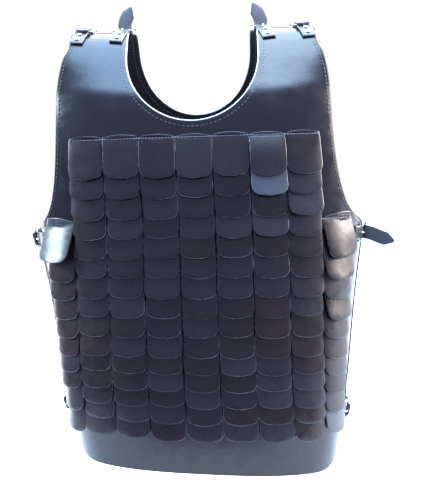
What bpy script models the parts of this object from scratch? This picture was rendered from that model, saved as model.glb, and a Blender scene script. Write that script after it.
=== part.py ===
"""Lamellar leather armour, filled out with no wearer.

A front plate and a back plate of stiff leather hang from the shoulders, open at the neck,
the armholes and the hem. Fifteen rows of leather scales are sewn across the front plate.
Straps and buckles close the plates over both shoulders and at both sides.

Sizes are in millimetres and are turned into metres when a mesh is made. Heights are taken
from a level just above the hem. The front faces -Y. A point of a plate is given as on the
flat leather: its breadth from the centre line and its run up from the hem, along the leather.
"""

import math

import bmesh
import bpy
import numpy as np
from mathutils import Vector
from mathutils.geometry import delaunay_2d_cdt

METRE = 0.001
GAP = 0.3
FRONT = -1
BACK = 1

# The leather
PLATE_THICKNESS = 3.0
SCALE_THICKNESS = 2.0
SCALE_SEAT = 0.8
STRAP_THICKNESS = 2.5
STRAP_WIDTH = 18.0
STRAP_SEAT = 0.8
STRAP_RISE = 5.5

# The filled-out body: columns are height, depth at the centre line
FRONT_PROFILE = ((-5, 120.5), (60, 126), (150, 130), (300, 131), (390, 128), (445, 119), (480, 106),
                 (505, 87), (534, 62), (554.5, 40), (567, 20), (572, 0))
BACK_PROFILE = ((-5, 108), (60, 110), (150, 113), (300, 115), (400, 116), (450, 112), (486, 100),
                (509, 82), (535, 60), (555, 39), (567, 20), (572, 0))
# Columns are height, half width at the side, shift of the middle to the right
FRONT_WIDTHS = ((-5, 173, 4), (40, 180, 4), (80, 187, 3), (130, 194, 2), (215, 204, 2),
                (320, 218, 2), (430, 221, 0), (572, 221, 0))
BACK_WIDTHS = ((-5, 180, 3), (40, 187, 3), (80, 194.5, 2), (130, 201.5, 1), (215, 211.5, 1),
               (320, 225.5, 1), (430, 225, 0), (572, 221, 0))
SECTION_POWER = 2.6
SECTION_STEPS = 160
# The lower part hangs askew, the right side lower
SKEW = 0.073
SKEW_TOP = 400.0
SKEW_POWER = 1.5

# The cut of both plates
SHOULDER_GAP = 14.0
SIDE_GAP = 36.0
# Columns are height, breadth from the centre line
ARMHOLE = ((550, 164), (535, 171.5), (516, 176.5), (499, 179.5), (482, 181), (438, 183.5),
           (397, 187.5), (366, 193.5), (342, 202.7), (328, 215), (318, 232), (310, 255))
ARMHOLE_AT_CREST = 162.0
ARMHOLE_SPACING = 15.0
ARMHOLE_TURN = 5.0
NECK_STEPS = 8
FRONT_NECK = {"bottom": 448.0, "middle": 535.0, "half_width": 85.0}
BACK_NECK = {"bottom": 463.0, "middle": 545.0, "half_width": 75.5}
CORNER_BREADTH = 72.0
CORNER_HEIGHT = 52.0
CORNER_STEPS = 6
SIDE_STEPS = 9
# Heights of the fold lines of the plates, above those that they share with the scale rows
SHOULDER_FOLDS = (452, 473, 491, 507, 522, 537, 552, 564)
HEM_FOLDS = (46.0, 66.0, 86.0)
SIDE_FOLDS = (78.0, 60.0, 44.0, 30.0)
FOLD_SPACING = 7.0
EDGE_SPACING = 8.0

# The scales
ROWS = 15
FIRST_TIP = 376.0
FOLDED_ROWS = (1, 2, 3, 4, 6, 8, 10, 12, 14)
UPPER_PITCH = 25.1
UPPER_ROWS = 10
LOWER_PITCH = 21.3
SCALE_LENGTH = 54.0
HEADER = 7.0
HIDDEN_HEADER = 2.5
HEADER_BULGE = 1.5
SLIT_START = 8.0
COLUMNS = 7
PITCH_TOP = 46.1
PITCH_TOP_HEIGHT = 415.0
PITCH_LOW = 45.0
PITCH_LOW_HEIGHT = 330.0
SIDE_SCALE_TOP_WIDTH = 50.0
SIDE_SCALE_LOW_WIDTH = 38.0
SIDE_DROP = 6.0
# What the lowest scales of the side columns hang lower by: columns are row, left, right
LOW_SIDE_DROPS = ((13, 10.0, 3.0), (14, 17.0, 9.0))
SIDE_ROWS = (5, 14)
SLIT = 0.8
SCALE_LEAN = 0.158
TIP_RADIUS = 11.0
SCALE_FOLDS = (0.0, 0.5, 0.86)

# The buckles
WIRE = 3.0
INNER_NICK = 0.4
BUCKLE_WIDTH = 29.0
BUCKLE_LENGTH = 24.0
HINGE_SEAT = 1.3
ROLLER_CLEARANCE = 1.15
PRONG_WIDTH = 2.4
PRONG_REACH = 0.33
TAB_GAP = 3.6
RIVET_RADIUS = 3.4
RIVET_HEIGHT = 1.8
RIVET_SIDES = 8
# Columns are share of the radius, share of the height
RIVET_CAP = ((1.0, 0.0), (1.0, 0.35), (0.55, 1.0))


def clear_scene():
    for old in list(bpy.data.objects):
        bpy.data.objects.remove(old, do_unlink=True)


def make_material(name, colour, roughness, metallic=0.0):
    material = bpy.data.materials.new(name)
    material.use_nodes = True
    shader = material.node_tree.nodes["Principled BSDF"]
    shader.inputs["Base Color"].default_value = (*colour, 1.0)
    shader.inputs["Roughness"].default_value = roughness
    shader.inputs["Metallic"].default_value = metallic
    return material


def smooth_rows(rows, steps=12):
    """Points on a smooth curve through the rows of a table (Catmull-Rom)."""
    rows = np.array(rows, dtype=float)
    knots = np.vstack([2 * rows[0] - rows[1], rows, 2 * rows[-1] - rows[-2]])
    points = []
    for first in range(len(rows) - 1):
        a, b, c, d = knots[first:first + 4]
        for t in np.linspace(0.0, 1.0, steps, endpoint=False):
            points.append(0.5 * (2 * b + (c - a) * t + (2 * a - 5 * b + 4 * c - d) * t ** 2
                                 + (3 * b - a - 3 * c + d) * t ** 3))
    points.append(rows[-1])
    return np.array(points)


class Shell:
    """The outer face of one plate, bent round the filled-out body."""

    def __init__(self, profile, widths, side):
        curve = smooth_rows(profile)
        self.side = side
        self.heights = curve[:, 0]
        self.depths = curve[:, 1]
        steps = np.hypot(np.diff(self.heights), np.diff(self.depths))
        self.runs = np.concatenate([[0.0], np.cumsum(steps)])
        self.length = self.runs[-1]
        self.widths = smooth_rows(widths)
        self.sections = {}

    def run_at(self, height):
        return float(np.interp(height, self.heights, self.runs))

    def height_at(self, run):
        return float(np.interp(run, self.runs, self.heights))

    def section(self, run):
        """The level section at a run: height, middle, across, depth and breadth."""
        key = round(run, 3)
        if key not in self.sections:
            height = self.height_at(run)
            depth = np.interp(run, self.runs, self.depths)
            width = np.interp(height, self.widths[:, 0], self.widths[:, 1])
            middle = np.interp(height, self.widths[:, 0], self.widths[:, 2])
            turn = np.linspace(0.0, math.pi / 2, SECTION_STEPS)
            across = width * np.sin(turn) ** (2 / SECTION_POWER)
            out = depth * np.cos(turn) ** (2 / SECTION_POWER)
            breadth = np.concatenate([[0.0], np.cumsum(np.hypot(np.diff(across), np.diff(out)))])
            self.sections[key] = (height, middle, across, out, breadth)
        return self.sections[key]

    def half_breadth(self, run):
        return float(self.section(run)[4][-1])

    def face(self, breadth, run):
        height, middle, across, out, breadths = self.section(min(max(run, 0.0), self.length))
        x = math.copysign(np.interp(abs(breadth), breadths, across), breadth)
        y = self.side * np.interp(abs(breadth), breadths, out)
        skew = SKEW * max(0.0, 1.0 - height / SKEW_TOP) ** SKEW_POWER
        return np.array([x + middle, y, height - skew * x])

    def normal(self, breadth, run, reach=3.0):
        half = self.half_breadth(run)
        left = max(breadth - reach, -half)
        right = min(breadth + reach, half)
        low = max(run - reach, 0.0)
        high = min(run + reach, self.length)
        across = self.face(right, run) - self.face(left, run)
        up = self.face(breadth, high) - self.face(breadth, low)
        out = np.cross(across, up) * -self.side
        return out / np.linalg.norm(out)

    def point(self, breadth, run, offset=0.0):
        return self.face(breadth, run) + self.normal(breadth, run) * offset


front_shell = Shell(FRONT_PROFILE, FRONT_WIDTHS, FRONT)
back_shell = Shell(BACK_PROFILE, BACK_WIDTHS, BACK)
ORIGIN = np.array([0.0, 0.0, front_shell.heights[-1] - PLATE_THICKNESS])


def to_metres(point):
    return Vector((np.asarray(point) - ORIGIN) * METRE)


def add_object(name, mesh_bm, material):
    bmesh.ops.recalc_face_normals(mesh_bm, faces=mesh_bm.faces)
    mesh = bpy.data.meshes.new(name)
    mesh_bm.to_mesh(mesh)
    mesh_bm.free()
    mesh.materials.append(material)
    thing = bpy.data.objects.new(name, mesh)
    bpy.context.collection.objects.link(thing)
    return thing


def cut_piece(name, outline, inner_points, shell, inside, outside, material):
    """A piece of leather cut to a flat outline and laid on a shell.

    inside and outside give the offsets of its two faces from the shell at a flat point.
    """
    flat = [Vector(p) for p in outline] + [Vector(p) for p in inner_points]
    loop = list(range(len(outline)))
    verts, edges, faces, _, _, _ = delaunay_2d_cdt(flat, [], [loop], 1, 1e-4)
    piece = bmesh.new()
    low = []
    high = []
    for spot in verts:
        face = shell.face(spot.x, spot.y)
        out = shell.normal(spot.x, spot.y)
        low.append(piece.verts.new(to_metres(face + out * inside(spot.x, spot.y))))
        high.append(piece.verts.new(to_metres(face + out * outside(spot.x, spot.y))))
    uses = {}
    for face in faces:
        piece.faces.new([high[i] for i in face])
        piece.faces.new([low[i] for i in reversed(face)])
        for a, b in zip(face, face[1:] + face[:1]):
            uses[(a, b)] = uses.get((a, b), 0) + 1
    for a, b in uses:
        if (b, a) not in uses:
            piece.faces.new([high[b], high[a], low[a]])
            piece.faces.new([high[b], low[a], low[b]])
    return add_object(name, piece, material)


def mirrored(right_half):
    """A closed outline from its right half, which starts and ends on the centre line."""
    left_half = [(-x, y) for x, y in reversed(right_half[1:-1])]
    return right_half + left_half


def inside_outline(point, outline, margin):
    """Whether a flat point is inside an outline and clear of its edges by a margin."""
    x, y = point
    inside = False
    for (ax, ay), (bx, by) in zip(outline, outline[1:] + outline[:1]):
        if (ay > y) != (by > y) and x < (bx - ax) * (y - ay) / (by - ay) + ax:
            inside = not inside
        along = (bx - ax, by - ay)
        length = max(along[0] ** 2 + along[1] ** 2, 1e-9)
        t = min(max(((x - ax) * along[0] + (y - ay) * along[1]) / length, 0.0), 1.0)
        if math.hypot(x - ax - t * along[0], y - ay - t * along[1]) < margin:
            return False
    return inside


def column_pitch(height):
    blend = (height - PITCH_LOW_HEIGHT) / (PITCH_TOP_HEIGHT - PITCH_LOW_HEIGHT)
    return PITCH_LOW + (PITCH_TOP - PITCH_LOW) * min(max(blend, 0.0), 1.0)


def column_edge(number, height):
    """Breadth of the edge to the right of a column; columns count from -4 to 4."""
    half = COLUMNS / 2
    place = number + 0.5
    inner = min(max(place, -half), half)
    side = place - inner
    blend = min(max(height / PITCH_LOW_HEIGHT, 0.0), 1.0)
    width = SIDE_SCALE_LOW_WIDTH + (SIDE_SCALE_TOP_WIDTH - SIDE_SCALE_LOW_WIDTH) * blend
    return inner * column_pitch(height) + side * width


def plate_outline(shell, neck):
    top = shell.length - SHOULDER_GAP / 2
    half = []
    drop = neck["middle"] - neck["bottom"]
    for step in range(NECK_STEPS + 1):
        turn = math.radians(90.0 * step / NECK_STEPS)
        height = neck["middle"] - drop * math.cos(turn)
        half.append((neck["half_width"] * math.sin(turn), shell.run_at(height)))
    straight = top - half[-1][1]
    for part in (0.33, 0.67, 1.0):
        half.append((neck["half_width"], half[NECK_STEPS][1] + straight * part))
    rows = [(top, ARMHOLE_AT_CREST)] + [(shell.run_at(z), b) for z, b in ARMHOLE]
    edge = shell.run_at(ARMHOLE[-1][0] - ARMHOLE_TURN)
    rows.append((edge, shell.half_breadth(edge) - SIDE_GAP / 2))
    curve = smooth_rows(rows)
    walked = 0.0
    half.append((curve[0][1], curve[0][0]))
    for before, after in zip(curve, curve[1:]):
        walked += float(np.hypot(*(after - before)))
        if walked >= ARMHOLE_SPACING:
            half.append((after[1], after[0]))
            walked = 0.0
    for run in np.linspace(edge, CORNER_HEIGHT, SIDE_STEPS):
        half.append((shell.half_breadth(run) - SIDE_GAP / 2, run))
    hem_breadth = shell.half_breadth(0.0) - SIDE_GAP / 2
    for step in range(1, CORNER_STEPS + 1):
        turn = math.radians(90.0 * step / CORNER_STEPS)
        run = CORNER_HEIGHT * (1.0 - math.sin(turn))
        reach = shell.half_breadth(run) - SIDE_GAP / 2
        half.append((reach - CORNER_BREADTH * (1.0 - math.cos(turn)), run))
    for part in (0.75, 0.5, 0.25, 0.0):
        half.append(((hem_breadth - CORNER_BREADTH) * part, 0.0))
    return mirrored(half)


def plate_grid(shell, outline):
    """Inner points on the column lines, so the plate and the scales share their folds."""
    heights = list(HEM_FOLDS) + [tip_height(row) + SCALE_LENGTH for row in FOLDED_ROWS]
    runs = [shell.run_at(height) for height in heights + list(SHOULDER_FOLDS)]
    spots = []
    for run in runs:
        height = shell.height_at(run)
        lines = []
        for number in range(COLUMNS // 2 + 2):
            edge = column_edge(number, height)
            before = column_edge(number - 1, height)
            lines += [(edge + before) / 2, edge]
        lines += [shell.half_breadth(run) - fold for fold in SIDE_FOLDS]
        for breadth in lines:
            for x in (breadth, -breadth):
                if inside_outline((x, run), outline, EDGE_SPACING):
                    spots.append((x, run))
    return thin_out(spots, FOLD_SPACING)


def thin_out(spots, spacing):
    """Drops each point that lies closer than the spacing to one that is kept."""
    kept = []
    for spot in spots:
        if all(math.hypot(spot[0] - x, spot[1] - y) >= spacing for x, y in kept):
            kept.append(spot)
    return kept


def make_plate(name, shell, neck, material):
    outline = plate_outline(shell, neck)
    spots = plate_grid(shell, outline)
    cut_piece(name, outline, spots, shell, lambda u, v: -PLATE_THICKNESS, lambda u, v: 0.0, material)


def tip_height(row):
    upper = min(row, UPPER_ROWS) - 1
    lower = max(row - UPPER_ROWS, 0)
    return FIRST_TIP - upper * UPPER_PITCH - lower * LOWER_PITCH


def side_drop(row, hand):
    """How far the scale of a side column hangs below its row, on the side that hand points to."""
    extra = [left if hand < 0 else right for low_row, left, right in LOW_SIDE_DROPS if low_row == row]
    return SIDE_DROP + sum(extra)


def make_scale_row(row, material):
    """One row: a strip along the stitch line with a tongue hanging in each column."""
    has_sides = SIDE_ROWS[0] <= row <= SIDE_ROWS[1]
    last = COLUMNS // 2 + (1 if has_sides else 0)
    numbers = list(range(-last, last + 1))
    root = front_shell.run_at(tip_height(row) + SCALE_LENGTH)

    def is_side(number):
        return abs(number) > COLUMNS // 2

    def drop(number):
        return side_drop(row, number) if is_side(number) else 0.0

    def header(number):
        """Height of the strip over the stitches, which shows where no row covers it."""
        shows = row == 1 or (row == SIDE_ROWS[0] and is_side(number))
        return HEADER if shows else HIDDEN_HEADER

    def flat(number, part, below):
        """A flat point: part runs from 0 to 1 across a column, below is under the stitches."""
        run = root - drop(number) - below
        height = front_shell.height_at(run)
        left = column_edge(number - 1, height)
        right = column_edge(number, height)
        slack = SLIT / 2
        return (left + slack + (right - left - 2 * slack) * part, run)

    outline = [flat(numbers[0], 0.0, HEADER_BULGE - header(numbers[0]))]
    spots = []
    for number in numbers:
        outline.append(flat(number, 0.5, -header(number)))
        if number != numbers[-1]:
            near = flat(number, 1.0, HEADER_BULGE - header(number))
            far = flat(number + 1, 0.0, HEADER_BULGE - header(number + 1))
            outline.append(((near[0] + far[0]) / 2, min(near[1], far[1])))
    outline.append(flat(numbers[-1], 1.0, HEADER_BULGE - header(numbers[-1])))
    bend = 1.0 - math.sqrt(0.5)
    for number in reversed(numbers):
        left, _ = flat(number, 0.0, SCALE_LENGTH)
        right, _ = flat(number, 1.0, SCALE_LENGTH)
        round_part = TIP_RADIUS / (right - left)
        outline.append(flat(number, 1.0, SCALE_LENGTH - TIP_RADIUS))
        outline.append(flat(number, 1.0 - round_part * bend, SCALE_LENGTH - TIP_RADIUS * bend))
        outline.append(flat(number, 1.0 - round_part, SCALE_LENGTH))
        outline.append(flat(number, round_part, SCALE_LENGTH))
        outline.append(flat(number, round_part * bend, SCALE_LENGTH - TIP_RADIUS * bend))
        outline.append(flat(number, 0.0, SCALE_LENGTH - TIP_RADIUS))
        if number != numbers[0]:
            here = flat(number, 0.0, SLIT_START)
            there = flat(number - 1, 1.0, SLIT_START)
            outline.append(((here[0] + there[0]) / 2, min(here[1], there[1])))
        spots += [flat(number, 0.5, SCALE_LENGTH * part) for part in SCALE_FOLDS]

    def inside(breadth, run):
        beyond = abs(breadth) > column_edge(COLUMNS // 2, front_shell.height_at(run)) + SLIT / 2
        start = root - (side_drop(row, breadth) if beyond else 0.0)
        return SCALE_SEAT + SCALE_LEAN * max(start - run, 0.0)

    cut_piece(f"scale_row_{row:02d}", outline, spots, front_shell, inside,
              lambda u, v: inside(u, v) + SCALE_THICKNESS, material)


class SideLine:
    """The level line round one side: the front plate, straight over the gap, the back plate."""

    def __init__(self, height, hand):
        self.height = height
        self.hand = hand
        self.aside = np.array([0.0, 0.0, -1.0])

    def spot(self, along, out):
        edge = SIDE_GAP / 2
        run = front_shell.run_at(self.height)
        breadth = self.hand * (front_shell.half_breadth(run) + min(along, -edge))
        start = front_shell.point(breadth, run, out)
        run = back_shell.run_at(self.height)
        breadth = self.hand * (back_shell.half_breadth(run) - max(along, edge))
        end = back_shell.point(breadth, run, out)
        return start + (end - start) * min(max((along + edge) / SIDE_GAP, 0.0), 1.0)


class CrestLine:
    """The line over one shoulder, which slants outwards down the front plate."""

    def __init__(self, breadth, hand):
        self.breadth = breadth
        self.hand = hand
        self.aside = np.array([-hand, 0.0, 0.0])

    def spot(self, along, out):
        if along <= 0.0:
            breadth = self.hand * (self.breadth - SHOULDER_SLANT * along)
            return front_shell.point(breadth, front_shell.length + along, out)
        return back_shell.point(self.hand * self.breadth, back_shell.length - along, out)


def line_axes(line, along):
    """Place and axes at a spot of a line: along it, across it and out of the leather."""
    here = line.spot(along, 0.0)
    forward = line.spot(along + 4.0, 0.0) - line.spot(along - 4.0, 0.0)
    forward = forward / np.linalg.norm(forward)
    out = line.spot(along, 10.0) - here
    out = out - forward * (out @ forward)
    out = out / np.linalg.norm(out)
    return here, forward, np.cross(out, forward), out


def make_ribbon(name, line, stations, material, tip=None):
    """A leather strap along a line; stations are (along, out, aside) of its under face."""
    path = [line.spot(along, out) + line.aside * aside for along, out, aside in stations]
    ribbon = bmesh.new()
    rings = []
    flip = 0.0
    for index, here in enumerate(path):
        before = path[max(index - 1, 0)]
        after = path[min(index + 1, len(path) - 1)]
        forward = after - before
        forward = forward / np.linalg.norm(forward)
        if stations[index][1] <= STRAP_SEAT:
            _, _, across, out = line_axes(line, stations[index][0])
        up = np.cross(forward, across)
        if index == 0:
            flip = math.copysign(1.0, up @ out)
        up = up * flip / np.linalg.norm(up)
        half = STRAP_WIDTH / 2
        if tip is not None and index == len(path) - 1:
            half *= tip
        ring = []
        for side, lift in ((-1, 0.0), (1, 0.0), (1, STRAP_THICKNESS), (-1, STRAP_THICKNESS)):
            ring.append(ribbon.verts.new(to_metres(here + across * side * half + up * lift)))
        rings.append(ring)
    for first, second in zip(rings, rings[1:]):
        for corner in range(4):
            after = (corner + 1) % 4
            ribbon.faces.new([first[corner], first[after], second[after], second[corner]])
    ribbon.faces.new(rings[0])
    ribbon.faces.new(rings[-1])
    bmesh.ops.triangulate(ribbon, faces=ribbon.faces)
    return add_object(name, ribbon, material)


def make_bar(bars, place, axes, size):
    """Adds a box with its middle at a place; axes and size go along, across and out."""
    middle = np.asarray(place)
    corners = []
    for a in (-0.5, 0.5):
        for b in (-0.5, 0.5):
            for c in (-0.5, 0.5):
                shift = axes[0] * a * size[0] + axes[1] * b * size[1] + axes[2] * c * size[2]
                corners.append(bars.verts.new(to_metres(middle + shift)))
    for quad in ((0, 1, 3, 2), (4, 6, 7, 5), (0, 4, 5, 1), (2, 3, 7, 6), (0, 2, 6, 4), (1, 5, 7, 3)):
        bars.faces.new([corners[i] for i in quad])


def buckle_axes(line, hinge):
    """The place of the hinge bar, the axes of the tilted frame and its length."""
    roller_seat = STRAP_SEAT + STRAP_THICKNESS + ROLLER_CLEARANCE
    _, _, across, out = line_axes(line, hinge + BUCKLE_LENGTH / 2)
    start = line.spot(hinge, HINGE_SEAT + WIRE / 2)
    end = line.spot(hinge + BUCKLE_LENGTH, roller_seat + WIRE / 2)
    length = np.linalg.norm(end - start)
    along = (end - start) / length
    across = across - along * (across @ along)
    across = across / np.linalg.norm(across)
    up = np.cross(along, across)
    up = up * math.copysign(1.0, up @ out)
    return start, along, across, up, length


def make_buckle(name, line, hinge, material):
    """A rectangular wire frame with cut corners, its hinge bar beside the tab."""
    start, along, across, up, length = buckle_axes(line, hinge)
    frame = bmesh.new()
    levels = []
    for lift in (-WIRE / 2, WIRE / 2):
        for shrink in (0.0, WIRE):
            low = -WIRE / 2 + shrink
            high = length + WIRE / 2 - shrink
            half = BUCKLE_WIDTH / 2 - shrink
            nick = WIRE if shrink == 0.0 else WIRE * INNER_NICK
            spots = ((low, half - nick), (low + nick, half), (high - nick, half), (high, half - nick),
                     (high, nick - half), (high - nick, -half), (low + nick, -half), (low, nick - half))
            levels.append([frame.verts.new(to_metres(start + along * a + across * b + up * lift))
                           for a, b in spots])
    low_out, low_in, high_out, high_in = levels
    for first, second in ((low_out, high_out), (high_out, high_in), (high_in, low_in), (low_in, low_out)):
        for corner in range(8):
            after = (corner + 1) % 8
            frame.faces.new([first[corner], first[after], second[after], second[corner]])
    return add_object(name, frame, material)


def make_prong(name, line, hinge, material):
    """The prong's tip, which comes out of the strap and rests on the roller bar."""
    start, along, across, up, length = buckle_axes(line, hinge)
    rest = WIRE / 2 + GAP + PRONG_WIDTH / 2
    reach = PRONG_REACH * length
    place = start + along * (length - reach / 2 + WIRE / 2) + up * rest
    bars = bmesh.new()
    make_bar(bars, place, (along, across, up), (reach, PRONG_WIDTH, PRONG_WIDTH))
    return add_object(name, bars, material)


def make_rivet(name, line, along, material):
    """A low domed rivet cap on a tab."""
    here, forward, across, out = line_axes(line, along)
    base = here + out * (STRAP_SEAT + GAP + STRAP_THICKNESS)
    cap = bmesh.new()
    rings = []
    for wide, tall in RIVET_CAP:
        ring = []
        for step in range(RIVET_SIDES):
            turn = 2 * math.pi * (step + 0.5) / RIVET_SIDES
            shift = (forward * math.cos(turn) + across * math.sin(turn)) * wide * RIVET_RADIUS
            ring.append(cap.verts.new(to_metres(base + shift + out * tall * RIVET_HEIGHT)))
        rings.append(ring)
    for first, second in zip(rings, rings[1:]):
        for step in range(RIVET_SIDES):
            after = (step + 1) % RIVET_SIDES
            cap.faces.new([first[step], first[after], second[after], second[step]])
    cap.faces.new(rings[0])
    cap.faces.new(rings[-1])
    return add_object(name, cap, material)


def tab_stations(start, end, steps):
    return [(along, STRAP_SEAT, 0.0) for along in np.linspace(start, end, steps)]


def strap_stations(far_end, hinge, tail):
    """A strap's under face: along the other plate, under the roller bar, then the tail.

    tail rows are measured from the hinge bar: along, out, aside.
    """
    roller = hinge + BUCKLE_LENGTH
    flat_steps = max(int((far_end - roller) / 6.0), 2)
    rows = [(along, STRAP_SEAT, 0.0) for along in np.linspace(far_end, roller - STRAP_RISE, flat_steps)]
    return rows + [(hinge + along, out, aside) for along, out, aside in tail]


# Columns of a tail are along from the hinge bar, out from the leather, aside
INNER_TAIL = ((13.0, 3.2, 0.0), (9.5, 8.0, 0.2), (7.5, 15.0, 2.5), (6.5, 23.0, 6.5), (6.5, 33.0, 11.0))
OUTER_TAIL = ((15.0, 1.9, 0.0), (10.0, 3.2, 0.0), (5.0, 4.7, 0.0), (1.5, 5.3, 0.0),
              (-3.0, 5.5, 0.0), (-8.0, 5.2, 0.0))
SIDE_TAIL_LONG = ((12.5, 3.0, 0.0), (9.0, 8.0, 0.2), (7.5, 16.0, 1.5), (7.0, 27.0, 5.0),
                  (7.0, 45.0, 9.0))
SIDE_TAIL_SHORT = ((12.5, 3.0, 0.0), (9.8, 6.0, 0.2), (9.0, 9.0, 0.6))
SHOULDER_BREADTHS = {"inner": 91.0, "outer": 144.0}
SHOULDER_SLANT = 0.23
SHOULDER_HINGE = -12.0
SHOULDER_TAB = 30.0
SHOULDER_REACH = 62.0
RIVET_SPACING = 12.0
FIRST_RIVET = 8.5
# Columns are height, hinge, length of the tab that shows, far end of the strap
SIDE_BUCKLES = {"upper": (298.0, -46.0, 20.0, 66.0), "lower": (66.0, -36.0, 10.0, 60.0)}


def make_fastening(label, line, hinge, tab, far_end, tail, tip, rivets, leather, steel):
    start = hinge - TAB_GAP - tab
    steps = max(int(tab / 8.0), 2)
    make_ribbon(f"{label}_tab", line, tab_stations(start, hinge - TAB_GAP, steps), leather)
    make_ribbon(f"{label}_strap", line, strap_stations(far_end, hinge, tail), leather, tip)
    make_buckle(f"{label}_buckle", line, hinge, steel)
    make_prong(f"{label}_prong", line, hinge, steel)
    for number in range(rivets):
        make_rivet(f"{label}_rivet_{number + 1}", line, start + FIRST_RIVET + number * RIVET_SPACING, steel)


def build():
    clear_scene()
    leather = make_material("black_leather", (0.03, 0.032, 0.045), 0.35)
    scale_leather = make_material("scale_leather", (0.028, 0.028, 0.042), 0.42)
    strap_leather = make_material("strap_leather", (0.026, 0.03, 0.045), 0.4)
    steel = make_material("nickelled_steel", (0.62, 0.63, 0.64), 0.28, 1.0)
    make_plate("front_plate", front_shell, FRONT_NECK, leather)
    make_plate("back_plate", back_shell, BACK_NECK, leather)
    for row in range(1, ROWS + 1):
        make_scale_row(row, scale_leather)
    for side, hand in (("left", -1), ("right", 1)):
        for place, breadth in SHOULDER_BREADTHS.items():
            tail, tip = (INNER_TAIL, 0.25) if place == "inner" else (OUTER_TAIL, None)
            make_fastening(f"{side}_{place}_shoulder", CrestLine(breadth, hand), SHOULDER_HINGE,
                           SHOULDER_TAB, SHOULDER_REACH, tail, tip, 2, strap_leather, steel)
        for place, (height, hinge, tab, far_end) in SIDE_BUCKLES.items():
            is_long = place == "upper" and side == "right"
            tail, tip = (SIDE_TAIL_LONG, 0.25) if is_long else (SIDE_TAIL_SHORT, None)
            make_fastening(f"{side}_{place}_side", SideLine(height, hand), hinge,
                           tab, far_end, tail, tip, 0, strap_leather, steel)


build()
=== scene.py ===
"""The look of a lamellar leather armour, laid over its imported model.

Sizes are in millimetres and become metres when a mesh is made, apart from those of the
floor and the camera, which are in metres. The front faces -Y. A place on the leather is
told as on the flat cut: its breadth from the centre line and its run up from the hem.
"""

import math

import bmesh
import bpy
import numpy as np
from mathutils import Matrix, Vector
from mathutils.geometry import delaunay_2d_cdt


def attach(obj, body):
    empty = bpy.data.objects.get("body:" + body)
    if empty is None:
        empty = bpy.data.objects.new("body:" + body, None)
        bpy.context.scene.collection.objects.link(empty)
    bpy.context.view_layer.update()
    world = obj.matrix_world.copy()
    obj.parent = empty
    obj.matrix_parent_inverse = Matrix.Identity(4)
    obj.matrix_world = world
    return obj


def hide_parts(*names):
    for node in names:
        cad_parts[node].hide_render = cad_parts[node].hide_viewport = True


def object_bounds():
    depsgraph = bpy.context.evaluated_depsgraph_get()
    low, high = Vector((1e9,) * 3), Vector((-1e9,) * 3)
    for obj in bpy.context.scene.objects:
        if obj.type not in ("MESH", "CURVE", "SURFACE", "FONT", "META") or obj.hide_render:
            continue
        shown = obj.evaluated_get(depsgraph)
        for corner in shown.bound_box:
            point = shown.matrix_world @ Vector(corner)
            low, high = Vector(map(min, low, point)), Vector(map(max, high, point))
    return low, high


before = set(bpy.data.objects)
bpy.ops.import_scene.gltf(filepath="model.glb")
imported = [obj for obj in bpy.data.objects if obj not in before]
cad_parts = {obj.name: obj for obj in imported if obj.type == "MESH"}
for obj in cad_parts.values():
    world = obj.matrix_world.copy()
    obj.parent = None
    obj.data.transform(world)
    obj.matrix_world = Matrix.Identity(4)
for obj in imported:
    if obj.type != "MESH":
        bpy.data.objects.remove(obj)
cad_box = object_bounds()


# The form that the leather takes
# Two stiff plates, shaped wet over a chest form and dried. Every other piece lies on them,
# so the form comes first: level sections of one rounded oblong, stacked up a profile.

MM = 0.001
FRONT = -1
BACK = 1
# Columns are height, depth at the centre line
FRONT_PROFILE = ((-5, 120.5), (60, 126), (150, 130), (300, 131), (390, 128), (445, 119), (480, 106),
                 (505, 87), (534, 62), (554.5, 40), (567, 20), (572, 0))
BACK_PROFILE = ((-5, 108), (60, 110), (150, 113), (300, 115), (400, 116), (450, 112), (486, 100),
                (509, 82), (535, 60), (555, 39), (567, 20), (572, 0))
# Columns are height, half width at the side, shift of the middle to the right
FRONT_WIDTHS = ((-5, 173, 4), (40, 180, 4), (80, 187, 3), (130, 194, 2), (215, 204, 2),
                (320, 218, 2), (430, 221, 0), (572, 221, 0))
BACK_WIDTHS = ((-5, 180, 3), (40, 187, 3), (80, 194.5, 2), (130, 201.5, 1), (215, 211.5, 1),
               (320, 225.5, 1), (430, 225, 0), (572, 221, 0))
SECTION_POWER = 2.6
SECTION_STEPS = 200
FORM_STEP = 2.0
FORM_REACH = 340.0
# Keeps a place inside the last cell of a form's table
CELL_MARGIN = 1.001
CREST_HEIGHT = 569.0
# The lower part hangs askew, the right side lower
SKEW = 0.073
SKEW_TOP = 400.0
SKEW_POWER = 1.5


def smooth_rows(rows, steps=12):
    """Points on a smooth curve through the rows of a table (Catmull-Rom)."""
    rows = np.array(rows, dtype=float)
    knots = np.vstack([2 * rows[0] - rows[1], rows, 2 * rows[-1] - rows[-2]])
    points = []
    for first in range(len(rows) - 1):
        a, b, c, d = knots[first:first + 4]
        for t in np.linspace(0.0, 1.0, steps, endpoint=False):
            points.append(0.5 * (2 * b + (c - a) * t + (2 * a - 5 * b + 4 * c - d) * t ** 2
                                 + (3 * b - a - 3 * c + d) * t ** 3))
    points.append(rows[-1])
    return np.array(points)


def unit(vectors):
    return vectors / np.linalg.norm(vectors, axis=-1, keepdims=True)


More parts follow.
